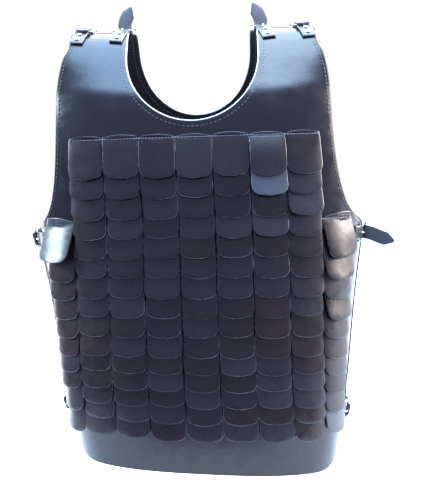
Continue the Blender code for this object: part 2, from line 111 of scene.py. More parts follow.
class Form:
    """The outer face of one plate, kept as a fine table over the flat leather."""

    def __init__(self, profile, widths, side):
        curve = smooth_rows(profile)
        self.heights, depths = curve.T
        self.runs = np.concatenate([[0.0], np.cumsum(np.hypot(*np.diff(curve, axis=0).T))])
        self.length = self.runs[-1]
        self.rows = np.linspace(0.0, self.length, int(self.length / FORM_STEP) + 1)
        self.columns = np.arange(-FORM_REACH, FORM_REACH + FORM_STEP, FORM_STEP)
        widths = smooth_rows(widths)
        turn = np.linspace(0.0, math.pi / 2, SECTION_STEPS)
        reach = np.abs(self.columns)
        table = []
        halves = []
        for run in self.rows:
            height = np.interp(run, self.runs, self.heights)
            across = np.interp(height, widths[:, 0], widths[:, 1]) * np.sin(turn) ** (2 / SECTION_POWER)
            out = np.interp(run, self.runs, depths) * np.cos(turn) ** (2 / SECTION_POWER)
            breadth = np.concatenate([[0.0], np.cumsum(np.hypot(np.diff(across), np.diff(out)))])
            half = breadth[-1]
            x = np.copysign(np.interp(reach, breadth, across), self.columns)
            y = side * (np.interp(reach, breadth, out) - np.maximum(reach - half, 0.0))
            lean = SKEW * max(0.0, 1.0 - height / SKEW_TOP) ** SKEW_POWER
            middle = np.interp(height, widths[:, 0], widths[:, 2])
            table.append(np.stack([x + middle, y, height - CREST_HEIGHT - lean * x], axis=1))
            halves.append(half)
        self.table = np.array(table)
        self.halves = np.array(halves)
        up = np.gradient(self.table, axis=0)
        across = np.gradient(self.table, axis=1)
        self.outs = unit(np.cross(across, up) * -side)

    def run_at(self, height):
        return np.interp(height, self.heights, self.runs)

    def height_at(self, run):
        return np.interp(run, self.runs, self.heights)

    def half_breadth(self, run):
        return np.interp(run, self.rows, self.halves)

    def at(self, breadth, run, offset=0.0):
        """Points over the flat leather, in millimetres, moved out by an offset."""
        breadth, run, offset = np.broadcast_arrays(*map(np.asarray, (breadth, run, offset)))
        i = np.clip(run / self.rows[1], 0.0, len(self.rows) - CELL_MARGIN)
        j = np.clip((breadth + FORM_REACH) / FORM_STEP, 0.0, len(self.columns) - CELL_MARGIN)
        row = i.astype(int)
        column = j.astype(int)
        s = (i - row)[..., None]
        t = (j - column)[..., None]

        def blend(grid):
            low = grid[row, column] * (1 - t) + grid[row, column + 1] * t
            high = grid[row + 1, column] * (1 - t) + grid[row + 1, column + 1] * t
            return low * (1 - s) + high * s

        return blend(self.table) + unit(blend(self.outs)) * offset[..., None]


front_form = Form(FRONT_PROFILE, FRONT_WIDTHS, FRONT)
back_form = Form(BACK_PROFILE, BACK_WIDTHS, BACK)


# The front plate and the back plate
# Each is one piece of 3 mm black leather, cut with a scooped neck and deep armholes. The
# cut edges are rounded off. The neck's edge is painted light as a highlight, the others stay dull.

PLATE_THICKNESS = 3.0
PLATE_GRID = 7.0
EDGE_STEP = 3.2
PLATE_ROUNDING = 2.2
# Rows of a triangular grid as a share of its pitch, and the share of a pitch that its points
# keep clear of the edge
ROW_SHARE = 0.87
GRID_CLEARANCE = 0.6
SEAM_CLEARANCE = 0.5
MERGE_DISTANCE = 1e-5
FILL_INSIDE = 1
# Columns are share of the rounding, share of the thickness, share of the wear and painted highlight
EDGE_RINGS = ((0.25, 0.08, 0.6), (0.0, 0.3, 1.0), (0.0, 0.55, 1.0), (0.12, 0.78, 1.0), (0.45, 0.95, 1.0))
SHOULDER_GAP = 14.0
SIDE_GAP = 36.0
# Columns are height, breadth from the centre line
ARMHOLE = ((550, 164), (535, 171.5), (516, 176.5), (499, 179.5), (482, 181), (438, 183.5),
           (397, 187.5), (366, 193.5), (342, 202.7), (328, 215), (318, 232), (310, 255))
ARMHOLE_AT_CREST = 162.0
ARMHOLE_TURN = 5.0
FRONT_NECK = {"bottom": 448.0, "middle": 535.0, "half_width": 85.0}
BACK_NECK = {"bottom": 463.0, "middle": 545.0, "half_width": 75.5}
CORNER_BREADTH = 72.0
CORNER_HEIGHT = 52.0
ARC_STEPS = 24
FLESH_ROUGHNESS = 0.85
LEATHER_SHINE = 0.55


def resample(line, step, closed=True):
    """Points at even steps along a line."""
    line = np.asarray(line, dtype=float)
    if closed:
        line = np.vstack([line, line[:1]])
    walked = np.concatenate([[0.0], np.cumsum(np.linalg.norm(np.diff(line, axis=0), axis=1))])
    count = max(int(round(walked[-1] / step)), 3)
    places = np.linspace(0.0, walked[-1], count + 1)
    if closed:
        places = places[:-1]
    return np.stack([np.interp(places, walked, line[:, axis]) for axis in range(line.shape[1])], axis=1)


def inward_normals(outline):
    """The inward direction at each point of an outline that runs anticlockwise."""
    along = unit(np.roll(outline, -1, axis=0) - np.roll(outline, 1, axis=0))
    return np.stack([-along[:, 1], along[:, 0]], axis=1)


def clear_inside(spots, outline, margin):
    """Which spots lie inside an outline and clear of its edge by a margin."""
    ends = np.roll(outline, -1, axis=0)
    inside = np.zeros(len(spots), dtype=bool)
    near = np.full(len(spots), np.inf)
    for a, b in zip(outline, ends):
        crosses = (a[1] > spots[:, 1]) != (b[1] > spots[:, 1])
        rise = b[1] - a[1] if b[1] != a[1] else 1e-9
        inside ^= crosses & (spots[:, 0] < (b[0] - a[0]) * (spots[:, 1] - a[1]) / rise + a[0])
        near = np.minimum(near, np.hypot(*(spots - a).T))
    return inside & (near > margin)


def band(low, high):
    """The faces between two rings of as many points each."""
    ends = [(i, (i + 1) % len(low)) for i in range(len(low))]
    return [(low[i], low[j], high[j], high[i]) for i, j in ends]


def inner_points(outline, ring, grid, step, seam):
    """A triangular grid of points inside a ring, with a close row at each height of a seam."""
    lows = outline.min(axis=0)
    highs = outline.max(axis=0)
    xs, ys = np.meshgrid(np.arange(lows[0], highs[0], grid), np.arange(lows[1], highs[1], grid * ROW_SHARE))
    xs[1::2] += grid / 2
    spots = np.stack([xs.ravel(), ys.ravel()], axis=1)
    spots = spots[clear_inside(spots, ring, grid * GRID_CLEARANCE)]
    if len(seam):
        spots = spots[np.abs(spots[:, 1:] - seam).min(axis=1) > step]
        xs, ys = np.meshgrid(np.arange(lows[0], highs[0], step), seam)
        rows = np.stack([xs.ravel(), ys.ravel()], axis=1)
        spots = np.vstack([spots, rows[clear_inside(rows, ring, step * SEAM_CLEARANCE)]])
    return spots


def cut_leather(outline, grid, step, rounding, seam=()):
    """A flat cut piece: its points (across, up, level), the edge's share of wear and painted highlight, and
    faces.

    The level runs from 0 at the inner face to 1 at the outer one. A seam is a list of
    heights that get a close row of points.
    """
    outline = resample(outline, step)
    ends = np.roll(outline, -1, axis=0)
    if np.sum(outline[:, 0] * ends[:, 1] - ends[:, 0] * outline[:, 1]) < 0:
        outline = outline[::-1]
    inward = inward_normals(outline)
    ring = outline + inward * rounding
    spots = inner_points(outline, ring, grid, step, seam)
    flat = [Vector(p) for p in np.vstack([ring, spots])]
    count = len(outline)
    rim = list(range(count))
    verts, _, fill, sources, _, _ = delaunay_2d_cdt(flat, [], [rim], FILL_INSIDE, MERGE_DISTANCE)
    place = {source: index for index, found in enumerate(sources) for source in found}
    rim = [place[i] for i in rim]
    middle = np.array([tuple(v) for v in verts])
    points = []
    burnish = []
    for level in (0.0, 1.0):
        points.append(np.column_stack([middle, np.full(len(middle), level)]))
        burnish.append(np.zeros(len(middle)))
    for inset, level, shine in EDGE_RINGS:
        points.append(np.column_stack([outline + inward * rounding * inset, np.full(count, level)]))
        burnish.append(np.full(count, shine))
    top = len(middle)
    faces = [tuple(top + i for i in face) for face in fill]
    faces += [tuple(reversed(face)) for face in fill]
    starts = [2 * top + count * level for level in range(len(EDGE_RINGS))]
    rings = [rim] + [range(start, start + count) for start in starts] + [[top + i for i in rim]]
    for low, high in zip(rings, rings[1:]):
        faces += band(low, high)
    return np.vstack(points), np.concatenate(burnish), faces


def raw_mesh(name, points, edges=(), faces=(), values=()):
    """A mesh from points in millimetres, with a value at each point by name."""
    mesh = bpy.data.meshes.new(name)
    mesh.from_pydata((np.asarray(points) * MM).tolist(), edges, faces)
    for label, numbers in dict(values).items():
        layer = mesh.attributes.new(label, "FLOAT", "POINT")
        layer.data.foreach_set("value", np.asarray(numbers, dtype=np.float32))
    return mesh


def add_object(name, data):
    """A new object, unturned at the origin."""
    added = bpy.data.objects.new(name, data)
    bpy.context.collection.objects.link(added)
    return added


def make_piece(name, points, faces, material, **values):
    """A smooth closed piece of one material."""
    mesh = raw_mesh(name, points, faces=faces, values=values)
    finish_mesh(mesh, material)
    return add_object(name, mesh)


def finish_mesh(mesh, material):
    work = bmesh.new()
    work.from_mesh(mesh)
    bmesh.ops.recalc_face_normals(work, faces=work.faces)
    work.to_mesh(mesh)
    work.free()
    mesh.materials.clear()
    mesh.materials.append(material)
    mesh.shade_smooth()


def neck_line(form, neck):
    """The right half of the neck's edge, from the centre line up to the crest."""
    turn = np.linspace(0.0, math.pi / 2, ARC_STEPS)
    heights = neck["middle"] - (neck["middle"] - neck["bottom"]) * np.cos(turn)
    scoop = np.stack([neck["half_width"] * np.sin(turn), form.run_at(heights)], axis=1)
    return np.vstack([scoop, [neck["half_width"], form.length - SHOULDER_GAP / 2]])


def armhole_line(form):
    """The right armhole's edge, from the crest down to the side."""
    top = form.length - SHOULDER_GAP / 2
    rows = [(ARMHOLE_AT_CREST, top)] + [(breadth, form.run_at(height)) for height, breadth in ARMHOLE]
    side = form.run_at(ARMHOLE[-1][0] - ARMHOLE_TURN)
    rows.append((form.half_breadth(side) - SIDE_GAP / 2, side))
    return smooth_rows(rows)


def side_line(form):
    """The right side's edge and the rounded corner, down to the hem."""
    top = form.run_at(ARMHOLE[-1][0] - ARMHOLE_TURN)
    runs = np.linspace(top, CORNER_HEIGHT, ARC_STEPS)
    turn = np.linspace(0.0, math.pi / 2, ARC_STEPS)
    runs = np.concatenate([runs, CORNER_HEIGHT * (1.0 - np.sin(turn[1:]))])
    cut = np.concatenate([np.zeros(ARC_STEPS), CORNER_BREADTH * (1.0 - np.cos(turn[1:]))])
    return np.stack([form.half_breadth(runs) - SIDE_GAP / 2 - cut, runs], axis=1)


def plate_outline(form, neck):
    half = np.vstack([neck_line(form, neck), armhole_line(form), side_line(form)[1:], [0.0, 0.0]])
    return np.vstack([half, (half * (-1, 1))[::-1][1:-1]])


def feed(tree, node, inputs):
    """Fills a node's inputs: another node's output is linked, any other value is set."""
    for key, value in dict(inputs).items():
        if isinstance(value, bpy.types.NodeSocket):
            tree.links.new(value, node.inputs[key])
        else:
            node.inputs[key].default_value = value


def node_adder(tree):
    """Returns a function that adds a node, sets its fields and feeds its inputs."""

    def add(kind, inputs=(), **fields):
        node = tree.nodes.new(kind)
        for field, value in fields.items():
            setattr(node, field, value)
        feed(tree, node, inputs)
        return node

    return add


def mix_colours(add, share, first, second):
    """A mix of two colours, each of them a colour or another node's output."""
    ends = [end if isinstance(end, bpy.types.NodeSocket) else (*end, 1.0) for end in (first, second)]
    return add("ShaderNodeMix", {"Factor": share, 6: ends[0], 7: ends[1]}, data_type="RGBA").outputs[2]


def new_material(name):
    """A material, its node adder and the object coordinates that its patterns read."""
    material = bpy.data.materials.new(name)
    material.use_nodes = True
    add = node_adder(material.node_tree)
    return material, add, add("ShaderNodeTexCoord").outputs["Object"]


def dress_shader(material, inputs):
    """Feeds a material's shader and hands the material back."""
    feed(material.node_tree, material.node_tree.nodes["Principled BSDF"], inputs)
    return material


def leather_material(name, dark, warm, wear_and_highlight_colour, inside, painted_sheen, roughness, mottle, evenness):
    """Black leather: cloudy dye, fine grain, faint creases, cut edges lightened by wear and a painted
    highlight, and a pale painted sheen that a negative tone mixes in.

    The evenness is how much of the cut edge is light all along; the rest comes in patches.
    """
    material, add, where = new_material(name)
    cloud = add("ShaderNodeTexNoise", {"Vector": where, "Scale": mottle, "Detail": 5.0, "Roughness": 0.6})
    rub = add("ShaderNodeTexNoise", {"Vector": where, "Scale": 140.0, "Detail": 4.0, "Roughness": 0.65})
    grain = add("ShaderNodeTexVoronoi", {"Vector": where, "Scale": 750.0})
    crease = add("ShaderNodeTexNoise", {"Vector": where, "Scale": 55.0, "Detail": 6.0, "Roughness": 0.55})
    patch = add("ShaderNodeTexNoise", {"Vector": where, "Scale": 24.0, "Detail": 2.0})
    tone = add("ShaderNodeAttribute", attribute_name="tone").outputs["Fac"]
    burnish = add("ShaderNodeAttribute", attribute_name="burnish").outputs["Fac"]
    flesh = add("ShaderNodeAttribute", attribute_name="flesh").outputs["Fac"]

    tinted = add("ShaderNodeMath", {0: cloud.outputs["Fac"], 1: tone}, operation="ADD")
    # A negative tone mixes in a painted sheen: a pale colour that stands in for a reflection of the sky.
    sheen_share = add("ShaderNodeMath", {0: tone, 1: -1.0}, operation="MULTIPLY", use_clamp=True)
    coat = mix_colours(add, tinted.outputs[0], dark, warm)
    coat = mix_colours(add, sheen_share.outputs[0], coat, painted_sheen)
    # The cut edges are lightened in patches, by wear and by a painted highlight.
    rubbed = add("ShaderNodeMath", {0: rub.outputs["Fac"], 1: patch.outputs["Fac"]}, operation="ADD")
    rubbed = add("ShaderNodeMapRange", {"Value": rubbed.outputs[0], "From Min": 0.98, "From Max": 1.22,
                                        "To Min": evenness})
    edge_wear_and_highlight = add("ShaderNodeMath", {0: rubbed.outputs[0], 1: burnish}, operation="MULTIPLY")
    coat = mix_colours(add, edge_wear_and_highlight.outputs[0], coat, wear_and_highlight_colour)
    coat = mix_colours(add, flesh, coat, inside)
    polish = add("ShaderNodeMapRange", {"Value": crease.outputs["Fac"], "From Min": 0.3, "From Max": 0.7,
                                        "To Min": roughness - 0.05, "To Max": roughness + 0.07})
    polish = add("ShaderNodeMix", {"Factor": flesh, "A": polish.outputs[0], "B": FLESH_ROUGHNESS})
    fine = add("ShaderNodeBump", {"Height": grain.outputs["Distance"], "Strength": 0.08,
                                  "Distance": 0.0002})
    broad = add("ShaderNodeBump", {"Height": crease.outputs["Fac"], "Strength": 0.25, "Distance": 0.0012,
                                   "Normal": fine.outputs["Normal"]})
    return dress_shader(material, {"Base Color": coat, "Roughness": polish.outputs[0],
                                   "Normal": broad.outputs["Normal"], "Specular IOR Level": LEATHER_SHINE})


# The near-white edge colour paints a highlight on the neck's rolled edge, and the pale blue one paints a
# sheen of reflected sky.
plate_leather = leather_material("plate_leather", dark=(0.0055, 0.0065, 0.012),
                                 warm=(0.009, 0.008, 0.0125), wear_and_highlight_colour=(0.74, 0.77, 0.85),
                                 inside=(0.005, 0.0045, 0.007), painted_sheen=(0.075, 0.115, 0.17),
                                 roughness=0.23, mottle=9.0, evenness=0.8)


def make_plate(node, form, neck):
    """One plate: only the edge round its neck gets the painted highlight, the others stay as raw as the
    inside.
    """
    points, burnish, faces = cut_leather(plate_outline(form, neck), PLATE_GRID, EDGE_STEP, PLATE_ROUNDING)
    offset = (points[:, 2] - 1.0) * PLATE_THICKNESS
    shaped = form.at(points[:, 0], points[:, 1], offset)
    by_neck = np.abs(points[:, 0]) < neck["half_width"] + PLATE_GRID
    by_neck &= points[:, 1] > form.run_at(neck["bottom"] - PLATE_GRID)
    raw_edge = np.where(by_neck, 0.0, burnish)
    piece = make_piece(f"{node}_leather", shaped, faces, plate_leather, burnish=burnish - raw_edge,
                       flesh=np.maximum(points[:, 2] == 0.0, raw_edge))
    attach(piece, "root")
    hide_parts(node)


make_plate("front_plate", front_form, FRONT_NECK)
make_plate("back_plate", back_form, BACK_NECK)


# The stitches of the neck and the armholes
# A saddle stitch of waxed grey thread, about 6 mm to the stitch, runs 6 to 9 mm inside the
# cut edge and shows on both faces of the leather.

THREAD_RADIUS = 0.55
STITCH_PITCH = 5.8
STITCH_LENGTH = 4.0
STITCH_SLANT = 0.12
STITCH_SEED = 4
NECK_MARGIN = 8.5
ARMHOLE_MARGIN = 5.5
THREAD_SINK = 0.1
THREAD_SIDES = 8
THREAD_RINGS = 6
SOILED_SHARE = 0.45
STITCH_END_MARGIN = 6.0


def thread_material(name, colour):
    """Waxed linen thread: a plied twist in the bump, and a soft wax gloss."""
    material, add, where = new_material(name)
    twist = add("ShaderNodeTexWave", {"Vector": where, "Scale": 700.0, "Distortion": 1.5})
    soil = add("ShaderNodeTexNoise", {"Vector": where, "Scale": 60.0, "Detail": 3.0})
    shade = mix_colours(add, soil.outputs["Fac"], colour, [part * SOILED_SHARE for part in colour])
    bump = add("ShaderNodeBump", {"Height": twist.outputs["Fac"], "Strength": 0.4, "Distance": 0.0002})
    return dress_shader(material, {"Base Color": shade, "Normal": bump.outputs["Normal"],
                                   "Roughness": 0.5})


grey_thread = thread_material("grey_thread", (0.12, 0.125, 0.17))


def new_tree(name, *inputs):
    """A geometry tree with a geometry in and out; each further input is a name and a socket type."""
    tree = bpy.data.node_groups.new(name, "GeometryNodeTree")
    tree.interface.new_socket("Geometry", in_out="INPUT", socket_type="NodeSocketGeometry")
    tree.interface.new_socket("Geometry", in_out="OUTPUT", socket_type="NodeSocketGeometry")
    for label, kind in inputs:
        tree.interface.new_socket(label, in_out="INPUT", socket_type=kind)
    start = tree.nodes.new("NodeGroupInput").outputs
    return tree, start, node_adder(tree)


def close_tree(tree, add, instances, material):
    """The tree's end: instances become a mesh of one material."""
    real = add("GeometryNodeRealizeInstances", {"Geometry": instances})
    dressed = add("GeometryNodeSetMaterial", {"Geometry": real.outputs[0], "Material": material})
    add("NodeGroupOutput", {"Geometry": dressed.outputs[0]})


def grow(name, base_mesh, tree, **values):
    """Runs a tree on a mesh and keeps the result as a plain mesh object."""
    base = add_object(f"{name}_base", base_mesh)
    modifier = base.modifiers.new("tree", "NODES")
    modifier.node_group = tree
    for socket in tree.interface.items_tree:
        label = socket.name.lower().replace(" ", "_")
        if socket.in_out == "INPUT" and label in values:
            modifier[socket.identifier] = values[label]
    ready = base.evaluated_get(bpy.context.evaluated_depsgraph_get())
    mesh = bpy.data.meshes.new_from_object(ready)
    mesh.name = name
    bpy.data.objects.remove(base, do_unlink=True)
    return add_object(name, mesh)


def stitch_tree():
    """A spindle of thread at even steps along each line, laid along it with a slight slant."""
    tree, start, add = new_tree("saddle_stitch", ("Pitch", "NodeSocketFloat"),
                                ("Stitch Length", "NodeSocketFloat"), ("Radius", "NodeSocketFloat"),
                                ("Slant", "NodeSocketFloat"), ("Thread", "NodeSocketMaterial"))
    line = add("GeometryNodeMeshToCurve", {"Mesh": start["Geometry"]})
    steps = add("GeometryNodeResampleCurve", {"Curve": line.outputs[0], "Length": start["Pitch"]},
                mode="LENGTH")
    spots = add("GeometryNodeCurveToPoints", {"Curve": steps.outputs[0]}, mode="EVALUATED")
    stitch = add("GeometryNodeMeshUVSphere", {"Segments": THREAD_SIDES, "Rings": THREAD_RINGS,
                                              "Radius": 1.0})
    aim = add("FunctionNodeAlignRotationToVector", {"Vector": spots.outputs["Tangent"]}, axis="X")
    sway = add("FunctionNodeRandomValue", {2: -1.0, 3: 1.0, "Seed": STITCH_SEED}, data_type="FLOAT")
    turn = add("ShaderNodeMath", {0: start["Slant"], 1: sway.outputs[1]}, operation="MULTIPLY")
    tilt = add("ShaderNodeCombineXYZ", {"Y": turn.outputs[0], "Z": turn.outputs[0]})
    euler = add("FunctionNodeEulerToRotation", {0: tilt.outputs[0]})
    slanted = add("FunctionNodeRotateRotation", {"Rotation": aim.outputs[0], "Rotate By": euler.outputs[0]},
                  rotation_space="LOCAL")
    half = add("ShaderNodeMath", {0: start["Stitch Length"], 1: 0.5}, operation="MULTIPLY")
    size = add("ShaderNodeCombineXYZ", {"X": half.outputs[0], "Y": start["Radius"], "Z": start["Radius"]})
    sewn = add("GeometryNodeInstanceOnPoints", {"Points": spots.outputs["Points"],
                                                "Instance": stitch.outputs["Mesh"],
                                                "Rotation": slanted.outputs[0], "Scale": size.outputs[0]})
    close_tree(tree, add, sewn.outputs[0], start["Thread"])
    return tree


saddle_stitch = stitch_tree()


def line_mesh(name, lines):
    """A mesh of bare edges along lines of points in millimetres."""
    edges = []
    count = 0
    for line in lines:
        edges += [(i, i + 1) for i in range(count, count + len(line) - 1)]
        count += len(line)
    return raw_mesh(name, np.vstack(lines), edges=edges)


def sew(name, lines, thread, pitch=STITCH_PITCH, length=STITCH_LENGTH, radius=THREAD_RADIUS):
    piece = grow(name, line_mesh(name, lines), saddle_stitch, pitch=pitch * MM, stitch_length=length * MM,
                 radius=radius * MM, slant=STITCH_SLANT, thread=thread)
    piece.data.shade_smooth()
    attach(piece, "root")


def inset_line(line, margin):
    """A line moved sideways to its left on the flat leather."""
    line = resample(line, EDGE_STEP, closed=False)
    along = unit(np.gradient(line, axis=0))
    moved = line + np.stack([-along[:, 1], along[:, 0]], axis=1) * margin
    ends = int(STITCH_END_MARGIN / EDGE_STEP)
    return moved[:-ends]


def both_sides(line):
    return [line, line * (-1, 1)]


def seam_lines(form, neck):
    """Stitch lines of one plate on its outer and its inner face."""
    neck_half = inset_line(neck_line(form, neck), -NECK_MARGIN)
    whole_neck = np.vstack([(neck_half * (-1, 1))[::-1], neck_half[1:]])
    armhole = inset_line(armhole_line(form)[2:], -ARMHOLE_MARGIN)
    lines = []
    for offset in (THREAD_RADIUS - THREAD_SINK, -PLATE_THICKNESS - THREAD_RADIUS + THREAD_SINK):
        for flat in [whole_neck] + both_sides(armhole):
            lines.append(form.at(flat[:, 0], flat[:, 1], offset - THREAD_RADIUS / 2))
    return lines


sew("front_plate_stitches", seam_lines(front_form, FRONT_NECK), grey_thread)
sew("back_plate_stitches", seam_lines(back_form, BACK_NECK), grey_thread)


# The leather scales
# One hundred and twenty-five tongues of 2 mm leather, cut to one pattern with rounded ends
# and sewn to the front plate by their tops, row over row from the hem upwards.

SCALE_THICKNESS = 2.0
SCALE_SEAT = 0.8
# How far a scale leans out for each millimetre that it hangs, to lie over the row below
SCALE_LEAN = 0.158
SCALE_LENGTH = 54.0
SCALE_GRID = 5.5
SCALE_EDGE_STEP = 2.6
SCALE_ROUNDING = 0.9
# The seam lies below the root. The leather above it, the header, is higher in its middle
SEAM_DROP = 4.5
HEADER = 2.2
HEADER_ARC = 2.8
HIDDEN_HEADER = 2.5
TIP_RADIUS = 11.0
TIP_BULGE = 1.4
TIP_STEPS = 9
TOP_STEPS = 13
ROWS = 15
# Height of the first row's tips, then the steps down from row to row, shorter for the lowest
FIRST_TIP = 376.0
UPPER_PITCH = 25.1
UPPER_ROWS = 10
LOWER_PITCH = 21.3
COLUMNS = 7
# Width of a middle column at two heights, then of a side column at the lower one and the hem
PITCH_TOP = 46.1
PITCH_TOP_HEIGHT = 415.0
PITCH_LOW = 45.0
PITCH_LOW_HEIGHT = 330.0
SIDE_SCALE_TOP_WIDTH = 50.0
SIDE_SCALE_LOW_WIDTH = 38.0
SIDE_DROP = 6.0
SIDE_ROWS = (5, 14)
# What the lowest scales of the side columns hang lower by: columns are row, left, right
LOW_SIDE_DROPS = ((13, 10.0, 3.0), (14, 17.0, 9.0))
# The slit between neighbours of a row
SLIT = 0.8
PATTERN_WIDTH = 46.0
SCALE_SEED = 7
# What each scale may differ by, either way: turn and yaw in radians, tone as a share of the
# dye's two colours, or of a painted sheen where it is negative, the others in millimetres
SCALE_TURN = 0.02
SCALE_SHIFT = 1.2
SCALE_LIFT = 1.1
SCALE_YAW = 0.035
SCALE_CROWN = 0.8
SCALE_BELLY = 0.25
SCALE_TONE = 0.09
# The share of a scale's lift that curls it, and the least lift, in millimetres
SCALE_CURL = 0.6
LEAST_LIFT = -0.3
# The sewn line is pulled in, and the header above it puffs out
SEAM_DIP = 0.5
SEAM_WIDTH = 1.4
SEAM_ROWS = (-3.2, -1.2, 0.0, 1.2)
HEADER_PUFF = 1.2
# The header's share of the edge's wear and painted highlight
HEADER_WEAR_AND_HIGHLIGHT = 0.5
# Scales that hang or shine unlike the rest, by row and column from the middle. A negative
# tone paints a pale sheen of reflected sky on the scale, and a positive one is a warmer dye.
ODD_SCALES = {
    (1, 0): {"lift": 1.5, "tone": -0.08},
    (1, 2): {"lift": 2.5, "belly": 3.4, "tone": -0.1},
    (2, 2): {"lift": 7.5, "belly": 0.6, "tone": -0.6},
    (3, 3): {"lift": 5.0, "turn": 0.01, "tone": -0.15},
    (4, 1): {"lift": 3.5, "tone": -0.06},
    (4, 2): {"lift": 3.8, "turn": 0.02, "tone": -0.14},
    (5, -4): {"lift": 13.0, "yaw": 0.0, "belly": 1.0, "turn": -0.1, "shift": 3.0, "tone": -0.3},
    (5, 4): {"lift": 3.5, "yaw": 0.0, "belly": 0.8, "turn": 0.14, "shift": 2.0, "tone": 0.0},
    (6, -4): {"lift": 0.0, "yaw": 0.0, "tone": 0.9},
    (6, 4): {"lift": 4.0, "turn": 0.04, "tone": 0.0},
    (7, -4): {"lift": 0.5, "turn": -0.02, "tone": 0.9},
    (8, -4): {"lift": 0.0, "yaw": 0.0, "tone": 0.8},
    (8, 2): {"turn": 0.02, "tone": 0.45},
    (8, 4): {"lift": 2.5, "turn": 0.08, "tone": 0.0},
    (9, -4): {"lift": 0.5, "turn": 0.02, "tone": 0.7},
    (9, 2): {"tone": 0.4},
    (10, -4): {"lift": 0.0, "yaw": 0.0, "tone": 0.5},
    (10, -3): {"tone": 0.6},
    (10, 2): {"turn": -0.02, "tone": 0.4},
    (14, 1): {"lift": 1.5, "turn": 0.03, "tone": 0.2},
    (14, 4): {"lift": 1.0, "turn": 0.02, "tone": -0.4},
}

# The edge colour is wear with a painted highlight, and the pale blue one a painted sheen.
scale_leather = leather_material("scale_leather", dark=(0.0042, 0.005, 0.0078),
                                 warm=(0.014, 0.0065, 0.0085), wear_and_highlight_colour=(0.13, 0.135, 0.16),
                                 inside=(0.01, 0.01, 0.013), painted_sheen=(0.1, 0.125, 0.165),
                                 roughness=0.28, mottle=16.0, evenness=0.0)


def tip_height(row):
    upper = min(row, UPPER_ROWS) - 1
    lower = max(row - UPPER_ROWS, 0)
    return FIRST_TIP - upper * UPPER_PITCH - lower * LOWER_PITCH


def column_edge(number, height):
    """Breadth of the edge to the right of each column; columns count from -4 to 4."""
    number = np.asarray(number, dtype=float)
    half = COLUMNS / 2
    inner = np.clip(number + 0.5, -half, half)
    side = number + 0.5 - inner
    blend = np.clip((height - PITCH_LOW_HEIGHT) / (PITCH_TOP_HEIGHT - PITCH_LOW_HEIGHT), 0.0, 1.0)
    pitch = PITCH_LOW + (PITCH_TOP - PITCH_LOW) * blend
    low = np.clip(height / PITCH_LOW_HEIGHT, 0.0, 1.0)
    return inner * pitch + side * (SIDE_SCALE_LOW_WIDTH
                                   + (SIDE_SCALE_TOP_WIDTH - SIDE_SCALE_LOW_WIDTH) * low)


def is_side(number):
    return abs(number) > COLUMNS // 2


def side_drop(row, number):
    """How far the scale of a side column hangs below its row."""
    if not is_side(number):
        return 0.0
    return SIDE_DROP + sum(left if number < 0 else right
                           for low_row, left, right in LOW_SIDE_DROPS if low_row == row)


def arc(middle, radius, start, end, steps=7):
    """Points on an arc; angles are in degrees, anticlockwise from the right."""
    turn = np.radians(np.linspace(start, end, steps))
    return np.stack([middle[0] + radius * np.cos(turn), middle[1] + radius * np.sin(turn)], axis=1)


def scale_pattern(header, header_arc):
    """The cut of one scale, as (across, up), with its tip a scale's length below the root."""
    half = (PATTERN_WIDTH - SLIT) / 2
    low = TIP_RADIUS - SCALE_LENGTH
    across = np.linspace(TIP_RADIUS - half, half - TIP_RADIUS, TIP_STEPS)[1:-1]
    bulge = -SCALE_LENGTH - TIP_BULGE * (1.0 - (across / (half - TIP_RADIUS)) ** 2)
    top = np.linspace(half, -half, TOP_STEPS)
    return np.vstack([arc((TIP_RADIUS - half, low), TIP_RADIUS, 180, 270),
                      np.stack([across, bulge], axis=1),
                      arc((half - TIP_RADIUS, low), TIP_RADIUS, 270, 360),
                      np.stack([top, header + header_arc * (1.0 - (top / half) ** 2)], axis=1)])


def scale_row_tree():
    """A scale at each point of a row, at the width and the turn that the point gives."""
    tree, start, add = new_tree("row_of_scales", ("Pattern", "NodeSocketObject"),
                                ("Leather", "NodeSocketMaterial"))
    pattern = add("GeometryNodeObjectInfo", {"Object": start["Pattern"]}, transform_space="ORIGINAL")
    width = add("GeometryNodeInputNamedAttribute", {"Name": "width"}, data_type="FLOAT")
    turn = add("GeometryNodeInputNamedAttribute", {"Name": "turn"}, data_type="FLOAT")
    size = add("ShaderNodeCombineXYZ", {"X": width.outputs[0], "Y": 1.0, "Z": 1.0})
    tilt = add("ShaderNodeCombineXYZ", {"Z": turn.outputs[0]})
    rotation = add("FunctionNodeEulerToRotation", {0: tilt.outputs[0]})
    laid = add("GeometryNodeInstanceOnPoints", {"Points": start["Geometry"],
                                                "Instance": pattern.outputs["Geometry"],
                                                "Rotation": rotation.outputs[0], "Scale": size.outputs[0]})
    close_tree(tree, add, laid.outputs[0], start["Leather"])
    return tree


row_of_scales = scale_row_tree()
chance = np.random.default_rng(SCALE_SEED)


def flat_scale(name, header, header_arc, seam):
    points, burnish, faces = cut_leather(scale_pattern(header, header_arc), SCALE_GRID, SCALE_EDGE_STEP,
                                         SCALE_ROUNDING, seam)
    burnish[points[:, 1] > -SEAM_DROP] *= HEADER_WEAR_AND_HIGHLIGHT
    return make_piece(name, points * (1.0, 1.0, SCALE_THICKNESS), faces, scale_leather, burnish=burnish,
                      flesh=points[:, 2] == 0.0)


def scatter_mesh(rows):
    """Bare points with the numbers of each scale of a row; rows are dictionaries."""
    places = [(row["middle"], row["shift"], 0.0) for row in rows]
    return raw_mesh("row_points", places, values={label: [row[label] for row in rows] for label in rows[0]})


def read_values(mesh, label):
    values = np.zeros(len(mesh.vertices), dtype=np.float32)
    mesh.attributes[label].data.foreach_get("value", values)
    return values


